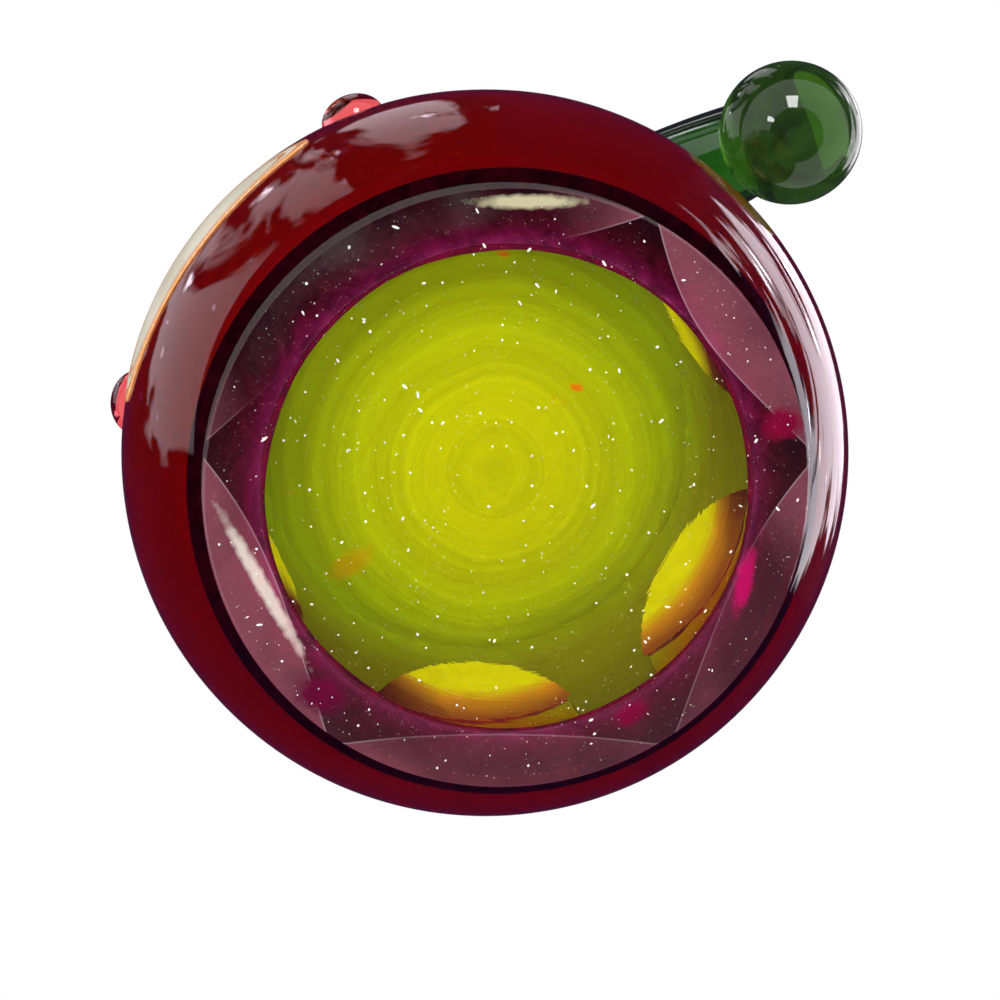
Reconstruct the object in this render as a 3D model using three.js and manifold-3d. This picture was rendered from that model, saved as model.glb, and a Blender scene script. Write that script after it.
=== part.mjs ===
// Clown-head paperweight in layered glass: a ball ground flat underneath, six round flats cut round its upper half,
// a face laid on the front flat, small tufts of hair and a floppy hat with a ball at its tip.
// Millimetres, +Z up, the base on z = 0 with its centre at the origin, the face towards -Y.
import * as THREE from "three";
import { mergeVertices } from "three/addons/utils/BufferGeometryUtils.js";
import Module from "manifold-3d";

const wasm = await Module();
wasm.setup();

// Ball and its layers
const BALL_R = 37.5;
const BASE_R = 29;
const CASING_WALL = 2.5; // mean wall of the outer layer
const CORE_RISE = 2.2; // the core sits this much above the ball's centre, so the wall is thickest at the base
const HEART_EDGE_R = 23; // the heart fills the top of the core out to this radius
const HEART_BOWL_R = 34; // its rounded underside
const CLEARANCE = 0.3; // between any two pieces

// Flats round the upper half
const FLAT_COUNT = 6;
const FLAT_R = 16.5;
const FLAT_TILT = 25; // degrees from the equator up to a flat's centre
const FACE_TURN = -90; // degrees round the ball of the flat that carries the face

// Face, measured on its flat from the flat's centre
const EYE_R = 3.1;
const EYE_BULGE = 1.7;
const EYE_APART = 12.4;
const EYE_UP = 5.2;
const PUPIL_R = 1.5;
const PUPIL_BULGE = 0.7;
const BROW_ARC_R = 4.5;
const BROW_SPAN = 96; // degrees
const BROW_ROD_R = 0.7;
const BROW_LEAN = 10; // degrees outwards
const NOSE_R = 4.1;
const NOSE_STAND = 2.7; // from the flat to the centre of the nose
const NOSE_DOWN = 1;
const MOUTH_ARC_R = 9.4;
const MOUTH_SPAN = 118; // degrees
const MOUTH_ROD_R = 1.15;
const MOUTH_UP = 0.4; // centre of the mouth's arc
const CHEEK_R = 2.3;
const CHEEK_BULGE = 1.2;
const CHEEK_APART = 22.6;
const CHEEK_DOWN = 0.8;
const ROD_SINK = 0.35; // share of a rod's radius that lies in the flat

// Tufts of hair: turn round the ball and degrees above the equator
const TUFT_R = 3.4;
const TUFT_BULGE = 2.8;
const BACK_TUFT_TURN = 96.7; // middle of the pair at the back
const BACK_TUFT_SPREAD = 31;
const BACK_TUFT_TILT = 14.5;
const SIDE_TUFT_R = 4;
const SIDE_TUFT_SPREAD = 90; // each side of the face
const SIDE_TUFT_TILT = 26;

// Hat: its middle line leaves the crown upwards, bends over and falls to the ball at its tip
const HAT_FOOT_R = 17;
const HAT_NECK_R = 5.2;
const HAT_SINK = 7; // how far the middle line starts below the crown
const HAT_STEM_PULL = 30; // the higher, the taller the bend
const HAT_FALL_REACH = 32;
const HAT_FALL_TURN = 194;
const HAT_FALL_RISE = 32;
const HAT_EASE = 1.5; // how soon the hat narrows above its foot
const HAT_RIM_R = 2.3;
const POMPOM_R = 8.1;
const POMPOM_REACH = 49;
const POMPOM_TURN = 198.6;
const POMPOM_DROP = 8; // below the crown

// Label at the back, below the rear flat
const LABEL_LONG = 32;
const LABEL_TALL = 7;
const LABEL_THICK = 0.4;
const LABEL_TURN = 94;
const LABEL_TILT = -7;

// Fineness of the meshes
const ROUND_STEPS = 44;
const RING_STEPS = 14;
const HAT_STEPS = 22;
const HAT_ROUND = 24;
const ROD_STEPS = 8;
const ROD_ROUND = 10;
const DOME_ROUND = 18;
const DOME_RINGS = 10;
const CAP_STEPS = 3;
const LABEL_ROUND = 36;

// Places that follow from the sizes
const DEG = Math.PI / 180;
const BALL_Z = Math.sqrt(BALL_R ** 2 - BASE_R ** 2);
const CROWN_Z = BALL_Z + BALL_R;
const CORE_R = BALL_R - CASING_WALL;
const CORE_Z = BALL_Z + CORE_RISE;
const HEART_EDGE_Z = CORE_Z + Math.sqrt(CORE_R ** 2 - HEART_EDGE_R ** 2);
const HEART_BOWL_Z = HEART_EDGE_Z + Math.sqrt(HEART_BOWL_R ** 2 - HEART_EDGE_R ** 2);
const FLAT_D = Math.sqrt(BALL_R ** 2 - FLAT_R ** 2);
const REACH = 4 * BALL_R; // larger than the object, for cutting blocks

const asSolid = (geometry) => {
  const bare = geometry.clone();
  bare.deleteAttribute("normal");
  bare.deleteAttribute("uv");
  const merged = mergeVertices(bare);
  const vertProperties = new Float32Array(merged.attributes.position.array);
  const triVerts = new Uint32Array(merged.index.array);
  const closed = new wasm.Mesh({ numProp: 3, vertProperties, triVerts });
  closed.merge();
  return new wasm.Manifold(closed);
};

const asGeometry = (solid) => {
  const { vertProperties, triVerts } = solid.getMesh();
  const geometry = new THREE.BufferGeometry();
  geometry.setAttribute("position", new THREE.BufferAttribute(new Float32Array(vertProperties), 3));
  geometry.setIndex(new THREE.BufferAttribute(new Uint32Array(triVerts), 1));
  geometry.computeVertexNormals();
  return geometry;
};

// Unit vector at a turn round Z and a tilt up from the equator
const heading = (turn, tilt) =>
  new THREE.Vector3(
    Math.cos(turn * DEG) * Math.cos(tilt * DEG),
    Math.sin(turn * DEG) * Math.cos(tilt * DEG),
    Math.sin(tilt * DEG),
  );

const onBall = (turn, tilt, out = 0) =>
  heading(turn, tilt)
    .multiplyScalar(BALL_R + out)
    .add(new THREE.Vector3(0, 0, BALL_Z));

// Place that leans out along a heading, with local Z pointing outwards and local X level
const facing = (at, turn, tilt) => {
  const out = heading(turn, tilt);
  const level = new THREE.Vector3(-Math.sin(turn * DEG), Math.cos(turn * DEG), 0);
  const up = new THREE.Vector3().crossVectors(out, level);
  return new THREE.Matrix4().makeBasis(level, up, out).setPosition(at);
};

// Solid of revolution round Z from a profile that starts and ends on the axis
const turned = (profile) => {
  const lathe = new THREE.LatheGeometry(profile, ROUND_STEPS);
  lathe.rotateX(Math.PI / 2);
  return asSolid(lathe);
};

// Ball of a given radius and height, ground flat on the base plane
const groundBall = (radius, centreZ, cut = 0) => {
  const low = Math.asin((cut - centreZ) / radius);
  const profile = [new THREE.Vector2(0, cut)];
  for (let i = 0; i < RING_STEPS; i += 1) {
    const tilt = low + ((Math.PI / 2 - low) * i) / RING_STEPS;
    profile.push(new THREE.Vector2(radius * Math.cos(tilt), centreZ + radius * Math.sin(tilt)));
  }
  profile.push(new THREE.Vector2(0, centreZ + radius));
  return turned(profile);
};

// Lower half of a ball
const bowl = (radius, centreZ) => {
  const profile = [new THREE.Vector2(0, centreZ - radius)];
  for (let i = 1; i <= RING_STEPS; i += 1) {
    const tilt = ((i - RING_STEPS) / RING_STEPS) * (Math.PI / 2);
    profile.push(new THREE.Vector2(radius * Math.cos(tilt), centreZ + radius * Math.sin(tilt)));
  }
  profile.push(new THREE.Vector2(0, centreZ));
  return turned(profile);
};

// Takes the six flats off a solid, each standing out from its own place by a margin
const cutFlats = (solid, margin = 0) => {
  let left = solid;
  for (let i = 0; i < FLAT_COUNT; i += 1) {
    const turn = FACE_TURN + (360 * i) / FLAT_COUNT;
    const middle = heading(turn, FLAT_TILT)
      .multiplyScalar(FLAT_D + margin + REACH / 2)
      .add(new THREE.Vector3(0, 0, BALL_Z));
    const block = new THREE.BoxGeometry(REACH, REACH, REACH);
    block.applyMatrix4(facing(middle, turn, FLAT_TILT));
    left = left.subtract(asSolid(block));
  }
  return left;
};

// Dome with a round outline that swells out of the surface it lies on
const dome = (radius, bulge, place) => {
  const ball = new THREE.SphereGeometry(radius, DOME_ROUND, DOME_RINGS);
  ball.rotateX(Math.PI / 2);
  ball.scale(1, 1, bulge / radius);
  ball.applyMatrix4(place);
  return asSolid(ball);
};

// Closed sweep of a round section whose radius changes along the middle line
const sweep = (curve, steps, round, radiusAt) => {
  const frames = curve.computeFrenetFrames(steps, false);
  const points = [];
  const faces = [];
  for (let i = 0; i <= steps; i += 1) {
    const centre = curve.getPointAt(i / steps);
    const radius = radiusAt(i / steps);
    for (let j = 0; j < round; j += 1) {
      const angle = (2 * Math.PI * j) / round;
      const at = centre
        .clone()
        .addScaledVector(frames.normals[i], radius * Math.cos(angle))
        .addScaledVector(frames.binormals[i], radius * Math.sin(angle));
      points.push(at.x, at.y, at.z);
    }
  }
  const first = points.length / 3;
  const start = curve.getPointAt(0);
  const end = curve.getPointAt(1);
  points.push(start.x, start.y, start.z, end.x, end.y, end.z);
  for (let j = 0; j < round; j += 1) {
    const next = (j + 1) % round;
    for (let i = 0; i < steps; i += 1) {
      const low = i * round;
      const high = low + round;
      faces.push(low + j, low + next, high + next, low + j, high + next, high + j);
    }
    faces.push(first, next, j);
    faces.push(first + 1, steps * round + j, steps * round + next);
  }
  const geometry = new THREE.BufferGeometry();
  geometry.setAttribute("position", new THREE.BufferAttribute(new Float32Array(points), 3));
  geometry.setIndex(faces);
  return asSolid(geometry);
};

// Bent rod with rounded ends, laid in a plane: an arc about (0, up), its middle at a given angle
const bentRod = (arcR, rodR, span, middle, up, place) => {
  const arc = [];
  for (let i = 0; i <= ROD_STEPS; i += 1) {
    const angle = (middle - span / 2 + (span * i) / ROD_STEPS) * DEG;
    arc.push(new THREE.Vector3(arcR * Math.cos(angle), up + arcR * Math.sin(angle), rodR * (1 - ROD_SINK)));
  }
  const curve = new THREE.CatmullRomCurve3(arc.map((point) => point.applyMatrix4(place)));
  const endShare = rodR / curve.getLength();
  const rounded = (t) => {
    const inEnd = Math.min(1, Math.min(t, 1 - t) / endShare);
    const floor = 1 / (2 * CAP_STEPS);
    return rodR * Math.max(floor, Math.sqrt(inEnd * (2 - inEnd)));
  };
  return sweep(curve, ROD_STEPS * CAP_STEPS, ROD_ROUND, rounded);
};

const paint = (colour, roughness) => new THREE.MeshStandardMaterial({ color: colour, roughness, metalness: 0 });

const paperweight = new THREE.Group();
paperweight.name = "clown_paperweight";

const addPiece = (group, name, solid, material) => {
  const mesh = new THREE.Mesh(asGeometry(solid), material);
  mesh.name = name;
  group.add(mesh);
};

// Layers of the ball: a clear core, an opaque heart let into the top of it, a dark casing outside
const ball = new THREE.Group();
ball.name = "ball";
paperweight.add(ball);
const coreBall = groundBall(CORE_R, CORE_Z);
const coreRoom = groundBall(CORE_R + CLEARANCE, CORE_Z, -CLEARANCE);
const wholeBall = groundBall(BALL_R, BALL_Z);
const heart = coreBall.intersect(bowl(HEART_BOWL_R, HEART_BOWL_Z));
const heartRoom = bowl(HEART_BOWL_R + CLEARANCE, HEART_BOWL_Z);
addPiece(ball, "heart", heart, paint(0xafaa08, 0.35));
addPiece(ball, "core", cutFlats(coreBall).subtract(heartRoom), paint(0x8fa60c, 0.06));
addPiece(ball, "casing", cutFlats(wholeBall).subtract(coreRoom), paint(0x5c0410, 0.05));

// Everything laid on the ball keeps the clearance to this grown copy of it
const ballRoom = cutFlats(groundBall(BALL_R + CLEARANCE, BALL_Z, -CLEARANCE), CLEARANCE);

// Face
const face = new THREE.Group();
face.name = "face";
paperweight.add(face);
const flatCentre = heading(FACE_TURN, FLAT_TILT)
  .multiplyScalar(FLAT_D)
  .add(new THREE.Vector3(0, 0, BALL_Z));
const flatPlace = facing(flatCentre, FACE_TURN, FLAT_TILT);
const onFlat = (across, up, out = 0) =>
  flatPlace.clone().multiply(new THREE.Matrix4().makeTranslation(across, up, out));
const sides = [
  ["left", 1],
  ["right", -1],
];
for (const [side, sign] of sides) {
  const eyeAcross = (sign * EYE_APART) / 2;
  const eyePlace = onFlat(eyeAcross, EYE_UP);
  const eye = dome(EYE_R, EYE_BULGE, eyePlace).subtract(ballRoom);
  const eyeRoom = dome(EYE_R + CLEARANCE, EYE_BULGE + CLEARANCE, eyePlace);
  const pupil = dome(PUPIL_R, PUPIL_R, onFlat(eyeAcross, EYE_UP, EYE_BULGE + PUPIL_BULGE - PUPIL_R));
  const browMiddle = 90 - sign * BROW_LEAN;
  const brow = bentRod(BROW_ARC_R, BROW_ROD_R, BROW_SPAN, browMiddle, 0, eyePlace);
  const cheek = dome(CHEEK_R, CHEEK_BULGE, onFlat((sign * CHEEK_APART) / 2, -CHEEK_DOWN));
  addPiece(face, `eye_${side}`, eye, paint(0xf4f2ea, 0.08));
  addPiece(face, `pupil_${side}`, pupil.subtract(eyeRoom).subtract(ballRoom), paint(0x14141a, 0.06));
  addPiece(face, `brow_${side}`, brow.subtract(ballRoom), paint(0x1d7a3c, 0.1));
  addPiece(face, `cheek_${side}`, cheek.subtract(ballRoom), paint(0xd8566a, 0.1));
}
const nose = dome(NOSE_R, NOSE_R, onFlat(0, -NOSE_DOWN, NOSE_STAND));
const mouth = bentRod(MOUTH_ARC_R, MOUTH_ROD_R, MOUTH_SPAN, -90, MOUTH_UP, flatPlace);
addPiece(face, "nose", nose.subtract(ballRoom), paint(0xc4141c, 0.06));
addPiece(face, "mouth", mouth.subtract(ballRoom), paint(0xb80f1a, 0.08));

// Hair
const hair = new THREE.Group();
hair.name = "hair";
paperweight.add(hair);
const tuft = (radius, turn, tilt) =>
  dome(radius, TUFT_BULGE, facing(onBall(turn, tilt), turn, tilt)).subtract(ballRoom);
for (const [side, sign] of sides) {
  const backTurn = BACK_TUFT_TURN - sign * BACK_TUFT_SPREAD;
  const sideTurn = FACE_TURN + sign * SIDE_TUFT_SPREAD;
  addPiece(hair, `tuft_back_${side}`, tuft(TUFT_R, backTurn, BACK_TUFT_TILT), paint(0xb5121f, 0.06));
  addPiece(hair, `tuft_side_${side}`, tuft(SIDE_TUFT_R, sideTurn, SIDE_TUFT_TILT), paint(0xb5121f, 0.06));
}

// Hat, its rolled rim and the ball at its tip
const hatGroup = new THREE.Group();
hatGroup.name = "hat_group";
paperweight.add(hatGroup);
const overCrown = (reach, turn, rise) =>
  new THREE.Vector3(reach * Math.cos(turn * DEG), reach * Math.sin(turn * DEG), CROWN_Z + rise);
const pompomAt = overCrown(POMPOM_REACH, POMPOM_TURN, -POMPOM_DROP);
const hatLine = new THREE.CubicBezierCurve3(
  overCrown(0, 0, -HAT_SINK),
  overCrown(0, 0, HAT_STEM_PULL),
  overCrown(HAT_FALL_REACH, HAT_FALL_TURN, HAT_FALL_RISE),
  pompomAt,
);
const taper = (grow) => (t) => {
  const eased = (1 - t) ** HAT_EASE;
  return HAT_NECK_R + (HAT_FOOT_R - HAT_NECK_R) * eased + grow;
};
const hatBody = sweep(hatLine, HAT_STEPS, HAT_ROUND, taper(0));
const hatRoom = sweep(hatLine, HAT_STEPS, HAT_ROUND, taper(CLEARANCE));
const pompom = dome(POMPOM_R, POMPOM_R, new THREE.Matrix4().setPosition(pompomAt));
const pompomRoom = dome(
  POMPOM_R + CLEARANCE,
  POMPOM_R + CLEARANCE,
  new THREE.Matrix4().setPosition(pompomAt),
);
const rimRing = new THREE.TorusGeometry(HAT_FOOT_R, HAT_RIM_R, ROD_ROUND, ROUND_STEPS);
rimRing.translate(0, 0, BALL_Z + Math.sqrt((BALL_R + HAT_RIM_R / 2) ** 2 - HAT_FOOT_R ** 2));
addPiece(hatGroup, "hat", hatBody.subtract(ballRoom).subtract(pompomRoom), paint(0x1f8a3e, 0.05));
addPiece(hatGroup, "hat_rim", asSolid(rimRing).subtract(ballRoom).subtract(hatRoom), paint(0x1f8a3e, 0.05));
addPiece(hatGroup, "hat_pompom", pompom, paint(0x22a04a, 0.04));

// Label: a thin oval bent to the ball
const labelOutline = new THREE.Shape().absellipse(0, 0, LABEL_LONG / 2, LABEL_TALL / 2, 0, 2 * Math.PI);
const labelBlock = new THREE.ExtrudeGeometry(labelOutline, {
  depth: BALL_R,
  bevelEnabled: false,
  curveSegments: LABEL_ROUND,
});
labelBlock.applyMatrix4(facing(onBall(LABEL_TURN, LABEL_TILT, -BALL_R / 2), LABEL_TURN, LABEL_TILT));
const labelSkin = groundBall(BALL_R + CLEARANCE + LABEL_THICK, BALL_Z).intersect(asSolid(labelBlock));
addPiece(paperweight, "label", labelSkin.subtract(ballRoom), paint(0xf1e6c6, 0.6));

export default paperweight;
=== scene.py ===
from math import acos, asin, cos, pi, radians, sin, sqrt

import bmesh
import bpy
from bpy.props import FloatProperty, FloatVectorProperty, IntProperty, PointerProperty
from mathutils import Matrix, Vector


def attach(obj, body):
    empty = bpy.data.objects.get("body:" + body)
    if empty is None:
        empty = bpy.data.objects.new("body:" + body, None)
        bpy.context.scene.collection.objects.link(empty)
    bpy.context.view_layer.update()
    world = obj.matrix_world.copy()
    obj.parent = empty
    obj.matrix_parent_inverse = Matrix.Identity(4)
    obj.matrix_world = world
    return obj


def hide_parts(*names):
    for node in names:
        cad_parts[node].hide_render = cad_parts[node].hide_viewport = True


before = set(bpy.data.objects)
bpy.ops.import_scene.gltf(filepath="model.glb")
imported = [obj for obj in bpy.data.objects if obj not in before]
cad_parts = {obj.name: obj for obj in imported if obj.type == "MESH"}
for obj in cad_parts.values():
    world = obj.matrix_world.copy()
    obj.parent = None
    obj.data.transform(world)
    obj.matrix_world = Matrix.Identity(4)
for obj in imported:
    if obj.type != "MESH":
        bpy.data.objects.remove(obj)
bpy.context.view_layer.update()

BODY = "root"

bl_info = {
    "name": "Clown Paperweight",
    "version": (1, 0, 0),
    "blender": (4, 5, 0),
    "location": "3D View > Sidebar > Paperweight",
    "description": "Builds a layered glass clown-head paperweight piece by piece",
    "category": "Object",
}


# Sizes and colours

def length(name, description, default):
    return FloatProperty(
        name=name, description=description, default=default, precision=5, subtype="DISTANCE", unit="LENGTH"
    )


def angle(name, description, default):
    return FloatProperty(
        name=name, description=description, default=radians(default), subtype="ANGLE", unit="ROTATION"
    )


def colour(name, description, default):
    return FloatVectorProperty(
        name=name, description=description, default=default, size=3, min=0.0, max=1.0, subtype="COLOR"
    )


def amount(name, description, default):
    return FloatProperty(name=name, description=description, default=default, min=0.0)


class PaperweightBall(bpy.types.PropertyGroup):
    """Sizes of the layered ball"""

    ball_radius: length("Ball radius", "Radius of the whole ball", 0.0375)
    base_radius: length("Base radius", "Radius of the ground base", 0.029)
    casing_wall: length("Casing wall", "Mean wall of the dark outer layer", 0.0025)
    core_rise: length("Core rise", "Height of the core's centre above the ball's", 0.0022)
    heart_edge: length("Heart edge", "Radius of the heart under the crown", 0.023)
    heart_bowl: length("Heart bowl", "Radius of the heart's rounded underside", 0.034)
    lining_wall: length("Lining wall", "Wall of the heart's lining of the core", 0.00035)
    lining_end: length("Lining end", "Height at which that lining ends", 0.036)
    flat_radius: length("Flat radius", "Radius of each ground flat", 0.0165)
    flat_tilt: angle("Flat tilt", "Lift of a flat's centre above the equator", 25)
    face_turn: angle("Face turn", "Heading of the flat with the face", -90)
    exposed_radius: length("Exposed radius", "How far from the axis yellow glass shows at the flats", 0.0292)
    wash_top: length("Wash top", "Height where casing glass starts to cover the flats", 0.0445)
    wash_angle: angle("Wash angle", "How fast that cover thickens downwards", 4.0)
    edge_width: length("Edge width", "Polished edge of the base and the flats", 0.0003)


class PaperweightFace(bpy.types.PropertyGroup):
    """Sizes of the face, measured on its flat"""

    eye_radius: length("Eye radius", "Radius of an eye", 0.0031)
    eye_bulge: length("Eye bulge", "Height of an eye over the flat", 0.0017)
    eye_apart: length("Eyes apart", "Distance between the eyes", 0.0124)
    eye_up: length("Eyes up", "Height of the eyes on the flat", 0.0052)
    pupil_radius: length("Pupil radius", "Radius of a pupil's ball", 0.0015)
    pupil_bulge: length("Pupil bulge", "Height of a pupil over its eye", 0.0007)
    brow_arc: length("Brow arc", "Radius of a brow's arc", 0.0045)
    brow_span: angle("Brow span", "Angle that a brow spans", 96)
    brow_lean: angle("Brow lean", "Outward turn of a brow", 10)
    brow_rod: length("Brow rod", "Radius of a brow's rod", 0.0007)
    nose_radius: length("Nose radius", "Radius of the nose", 0.0041)
    nose_stand: length("Nose stand", "From the flat to the nose's centre", 0.0027)
    nose_down: length("Nose down", "Nose below the flat's centre", 0.001)
    mouth_arc: length("Mouth arc", "Radius of the mouth's arc", 0.0094)
    mouth_span: angle("Mouth span", "Angle that the mouth spans", 118)
    mouth_rod: length("Mouth rod", "Radius of the mouth's rod", 0.00115)
    mouth_up: length("Mouth up", "Centre of the mouth's arc", 0.0004)
    cheek_radius: length("Cheek radius", "Radius of a cheek", 0.0023)
    cheek_bulge: length("Cheek bulge", "Height of a cheek over the flat", 0.0012)
    cheek_apart: length("Cheeks apart", "Distance between the cheeks", 0.0226)
    cheek_down: length("Cheeks down", "Cheeks below the flat's centre", 0.0008)


class PaperweightHair(bpy.types.PropertyGroup):
    """Sizes and places of the tufts"""

    tuft_radius: length("Tuft radius", "Radius of a tuft at the back", 0.0034)
    side_radius: length("Side tuft radius", "Radius of a tuft at the side", 0.004)
    tuft_bulge: length("Tuft bulge", "Height of a tuft over the ball", 0.0028)
    back_turn: angle("Back turn", "Heading between the two back tufts", 96.7)
    back_spread: angle("Back spread", "Turn from there to each back tuft", 31)
    back_tilt: angle("Back tilt", "Lift of the back tufts", 14.5)
    side_spread: angle("Side spread", "Turn from the face to each side tuft", 90)
    side_tilt: angle("Side tilt", "Lift of the side tufts", 26)


class PaperweightHat(bpy.types.PropertyGroup):
    """Sizes of the hat"""

    foot_radius: length("Foot radius", "Radius of the hat at its foot", 0.017)
    neck_radius: length("Neck radius", "Radius of the hat at its tip", 0.0052)
    sink: length("Sink", "Start of the middle line below the crown", 0.007)
    stem_pull: length("Stem pull", "Upward pull of the middle line", 0.03)
    fall_reach: length("Fall reach", "Sideways pull of the middle line", 0.032)
    fall_turn: angle("Fall turn", "Heading of that pull", 194)
    fall_rise: length("Fall rise", "Height of that pull over the crown", 0.032)
    ease: amount("Ease", "How soon the hat narrows above its foot", 1.5)
    rim_radius: length("Rim radius", "Radius of the rolled rim's section", 0.0023)
    pompom_radius: length("Tip ball radius", "Radius of the ball at the tip", 0.0081)
    pompom_reach: length("Tip ball reach", "Distance of that ball from the axis", 0.049)
    pompom_turn: angle("Tip ball turn", "Heading of that ball", 198.6)
    pompom_drop: length("Tip ball drop", "That ball's centre below the crown", 0.008)


class PaperweightLabel(bpy.types.PropertyGroup):
    """Size and place of the paper label"""

    long: length("Length", "Length of the oval", 0.032)
    tall: length("Height", "Height of the oval", 0.007)
    thick: length("Thickness", "Thickness of the paper", 0.0002)
    turn: angle("Turn", "Heading of the label", 94)
    tilt: angle("Tilt", "Lift of the label", -7.0)


class PaperweightColours(bpy.types.PropertyGroup):
    """Colours of the glass and the paper"""

    heart_middle: colour("Heart middle", "Middle of the heart", (0.63, 0.59, 0.001))
    heart_side: colour("Heart side", "Heart towards its edge", (0.41, 0.52, 0.007))
    # Heart rim is painted shade that darkens the heart's edge
    heart_rim_shade: colour("Heart rim", "Edge of the heart", (0.28, 0.24, 0.09))
    heart_ring: colour("Heart ring", "Darker rings in the heart", (0.22, 0.20, 0.004))
    # Heart fleck is a painted warm reflection in the heart
    heart_reflection: colour("Heart fleck", "Warm flecks in the heart", (0.72, 0.30, 0.004))
    exposed: colour("Exposed glass", "Yellow glass behind the flats", (0.86, 0.72, 0.012))
    exposed_edge: colour("Exposed edge", "That glass near its outer edge", (0.72, 0.27, 0.09))
    exposed_end: colour("Exposed end", "That glass at its outer edge", (0.34, 0.08, 0.08))
    exposed_pink: colour("Exposed pink", "That glass near its edge on two sides", (0.16, 0.03, 0.06))
    exposed_plum: colour("Exposed plum", "That glass at its edge on two sides", (0.07, 0.01, 0.05))
    exposed_cord: colour("Exposed cord", "Cords in that glass", (0.30, 0.22, 0.0))
    core_stain: colour("Core stain", "What the core lets through", (0.82, 0.87, 0.11))
    casing_stain: colour("Casing stain", "What the casing lets through", (0.805, 0.01, 0.60))
    # Ring light, ring dark and image line are painted light and painted shade on the casing's ground ring
    ring_painted_light: colour("Ring haze", "Light caught on the casing's ground ring", (0.22, 0.062, 0.09))
    ring_dark: colour("Ring dark", "That ring where it catches least", (0.004, 0.0, 0.001))
    image_line: colour("Image line", "Edge of a flat's image on that ring", (0.34, 0.22, 0.26))
    green_stain: colour("Green stain", "What the hat's glass lets through", (0.475, 0.70, 0.40))
    # Green glow and tip glow are painted light in the hat's glass and its tip ball
    green_glow: colour("Green glow", "Light gathered in the hat", (0.006, 0.022, 0.004))
    tip_stain: colour("Tip stain", "What the tip ball's glass lets through", (0.50, 0.66, 0.24))
    tip_glow: colour("Tip glow", "Light gathered in the tip ball", (0.022, 0.06, 0.009))
    ruby_stain: colour("Ruby stain", "What the tufts' glass lets through", (0.93, 0.08, 0.12))
    plum: colour("Plum glass", "Dark band low on the core's wall", (0.05, 0.008, 0.02))
    plum_shade: colour("Plum shade", "Cords in that band", (0.15, 0.022, 0.07))
    seam: colour("Seam", "Line between the core and the casing", (0.03, 0.002, 0.006))
    # Seam shade: lighter cords that also stand in for a painted crimson highlight along the seam
    seam_shade: colour("Seam shade", "Cords in that line", (0.09, 0.002, 0.012))
    white: colour("White glass", "Eyes", (0.86, 0.85, 0.80))
    white_shade: colour("White shade", "Cords in the eyes", (0.72, 0.70, 0.62))
    black: colour("Black glass", "Pupils", (0.012, 0.012, 0.016))
    black_shade: colour("Black shade", "Cords in the pupils", (0.04, 0.035, 0.05))
    brow: colour("Brow glass", "Brows", (0.02, 0.20, 0.06))
    brow_shade: colour("Brow shade", "Cords in the brows", (0.05, 0.30, 0.10))
    red: colour("Red glass", "Nose and mouth", (0.55, 0.012, 0.016))
    red_shade: colour("Red shade", "Cords in the nose and mouth", (0.34, 0.004, 0.012))
    pink: colour("Pink glass", "Cheeks", (0.72, 0.16, 0.20))
    pink_shade: colour("Pink shade", "Cords in the cheeks", (0.58, 0.08, 0.12))
    paper: colour("Paper", "Label", (0.92, 0.87, 0.72))
    paper_fibre: colour("Paper fibre", "Fibres in the label", (0.62, 0.54, 0.36))
    paper_soil: colour("Paper soil", "Soiled places on the label", (0.45, 0.36, 0.22))
    paper_edge: colour("Paper edge", "Printed line round the label", (0.72, 0.26, 0.07))
    dust: colour("Dust", "Specks on the base", (0.72, 0.70, 0.65))
    dust_shade: colour("Dust shade", "Darker specks there", (0.26, 0.23, 0.18))
    glass_dust: colour("Glass dust", "Specks on the solid glass", (0.8, 0.78, 0.74))
    floor: colour("Floor", "Pale floor", (0.86, 0.86, 0.86))


class PaperweightDust(bpy.types.PropertyGroup):
    """Specks on the base"""

    density: amount("Density", "Specks for each square metre", 260000.0)
    smallest: length("Smallest", "Smallest speck", 0.00003)
    largest: length("Largest", "Largest speck", 0.00015)
    thick: length("Thickness", "Height of a speck", 0.00004)
    seed: IntProperty(name="Seed", description="Fixed scatter of the specks", default=7)


# Gaps and places

BASE_LIFT = 0.00006
SKIN_INSET = 0.00004
HAT_INSET = 0.00015
FUSED_GAP = 0.00002
SEAT_DEPTH = 0.00006
SEAT_GAP = 0.00003
HAT_SEAT_MARGIN = 0.0012
PUPIL_SINK = 0.0002
HEART_INSET = 0.0001
SEAM_WIDE = 0.0005
SEAM_TALL = 0.0004
LINING_FOOT = 0.0005
LINING_HEAD = 0.0066
LINING_THICK = 0.0003
PLATE_STEP = 0.00005
PLATE_MARGIN = 0.0002
DUST_MARGIN = 0.0007
GRIT_WIDTH = 0.0003
ROUNDS = 192
AXIS = Vector((0, 0, 1))

# Edges sharper than these angles, in degrees, stay sharp

CUT_SHARP = 14.0
BAND_SHARP = 40.0
PLATE_SHARP = 50.0
BLOWN_SHARP = 60.0

# How strongly each clear glass stains, for each metre of depth

CORE_DEPTH = 40.0
CASING_DEPTH = 1400.0
GREEN_DEPTH = 640.0
TIP_DEPTH = 540.0
RUBY_DEPTH = 420.0
GLASS_IOR = 1.5
NO_LIGHT = (0.0, 0.0, 0.0)

# Marks in the glass: the base below GROUND_TOP, the heart with its painted shade, and painted light on the
# casing's ground ring

GROUND_TOP = 0.0004
POLISH_SHIFT = (0.0016, 0.0006, 0)
SCAR_SHIFT = (-0.0008, -0.0013, 0)
SCAR_RADIUS = 0.0015
SCAR_WIDTH = 0.0004
HEART_SHIFT = (-0.0013, 0.0027, 0)
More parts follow.
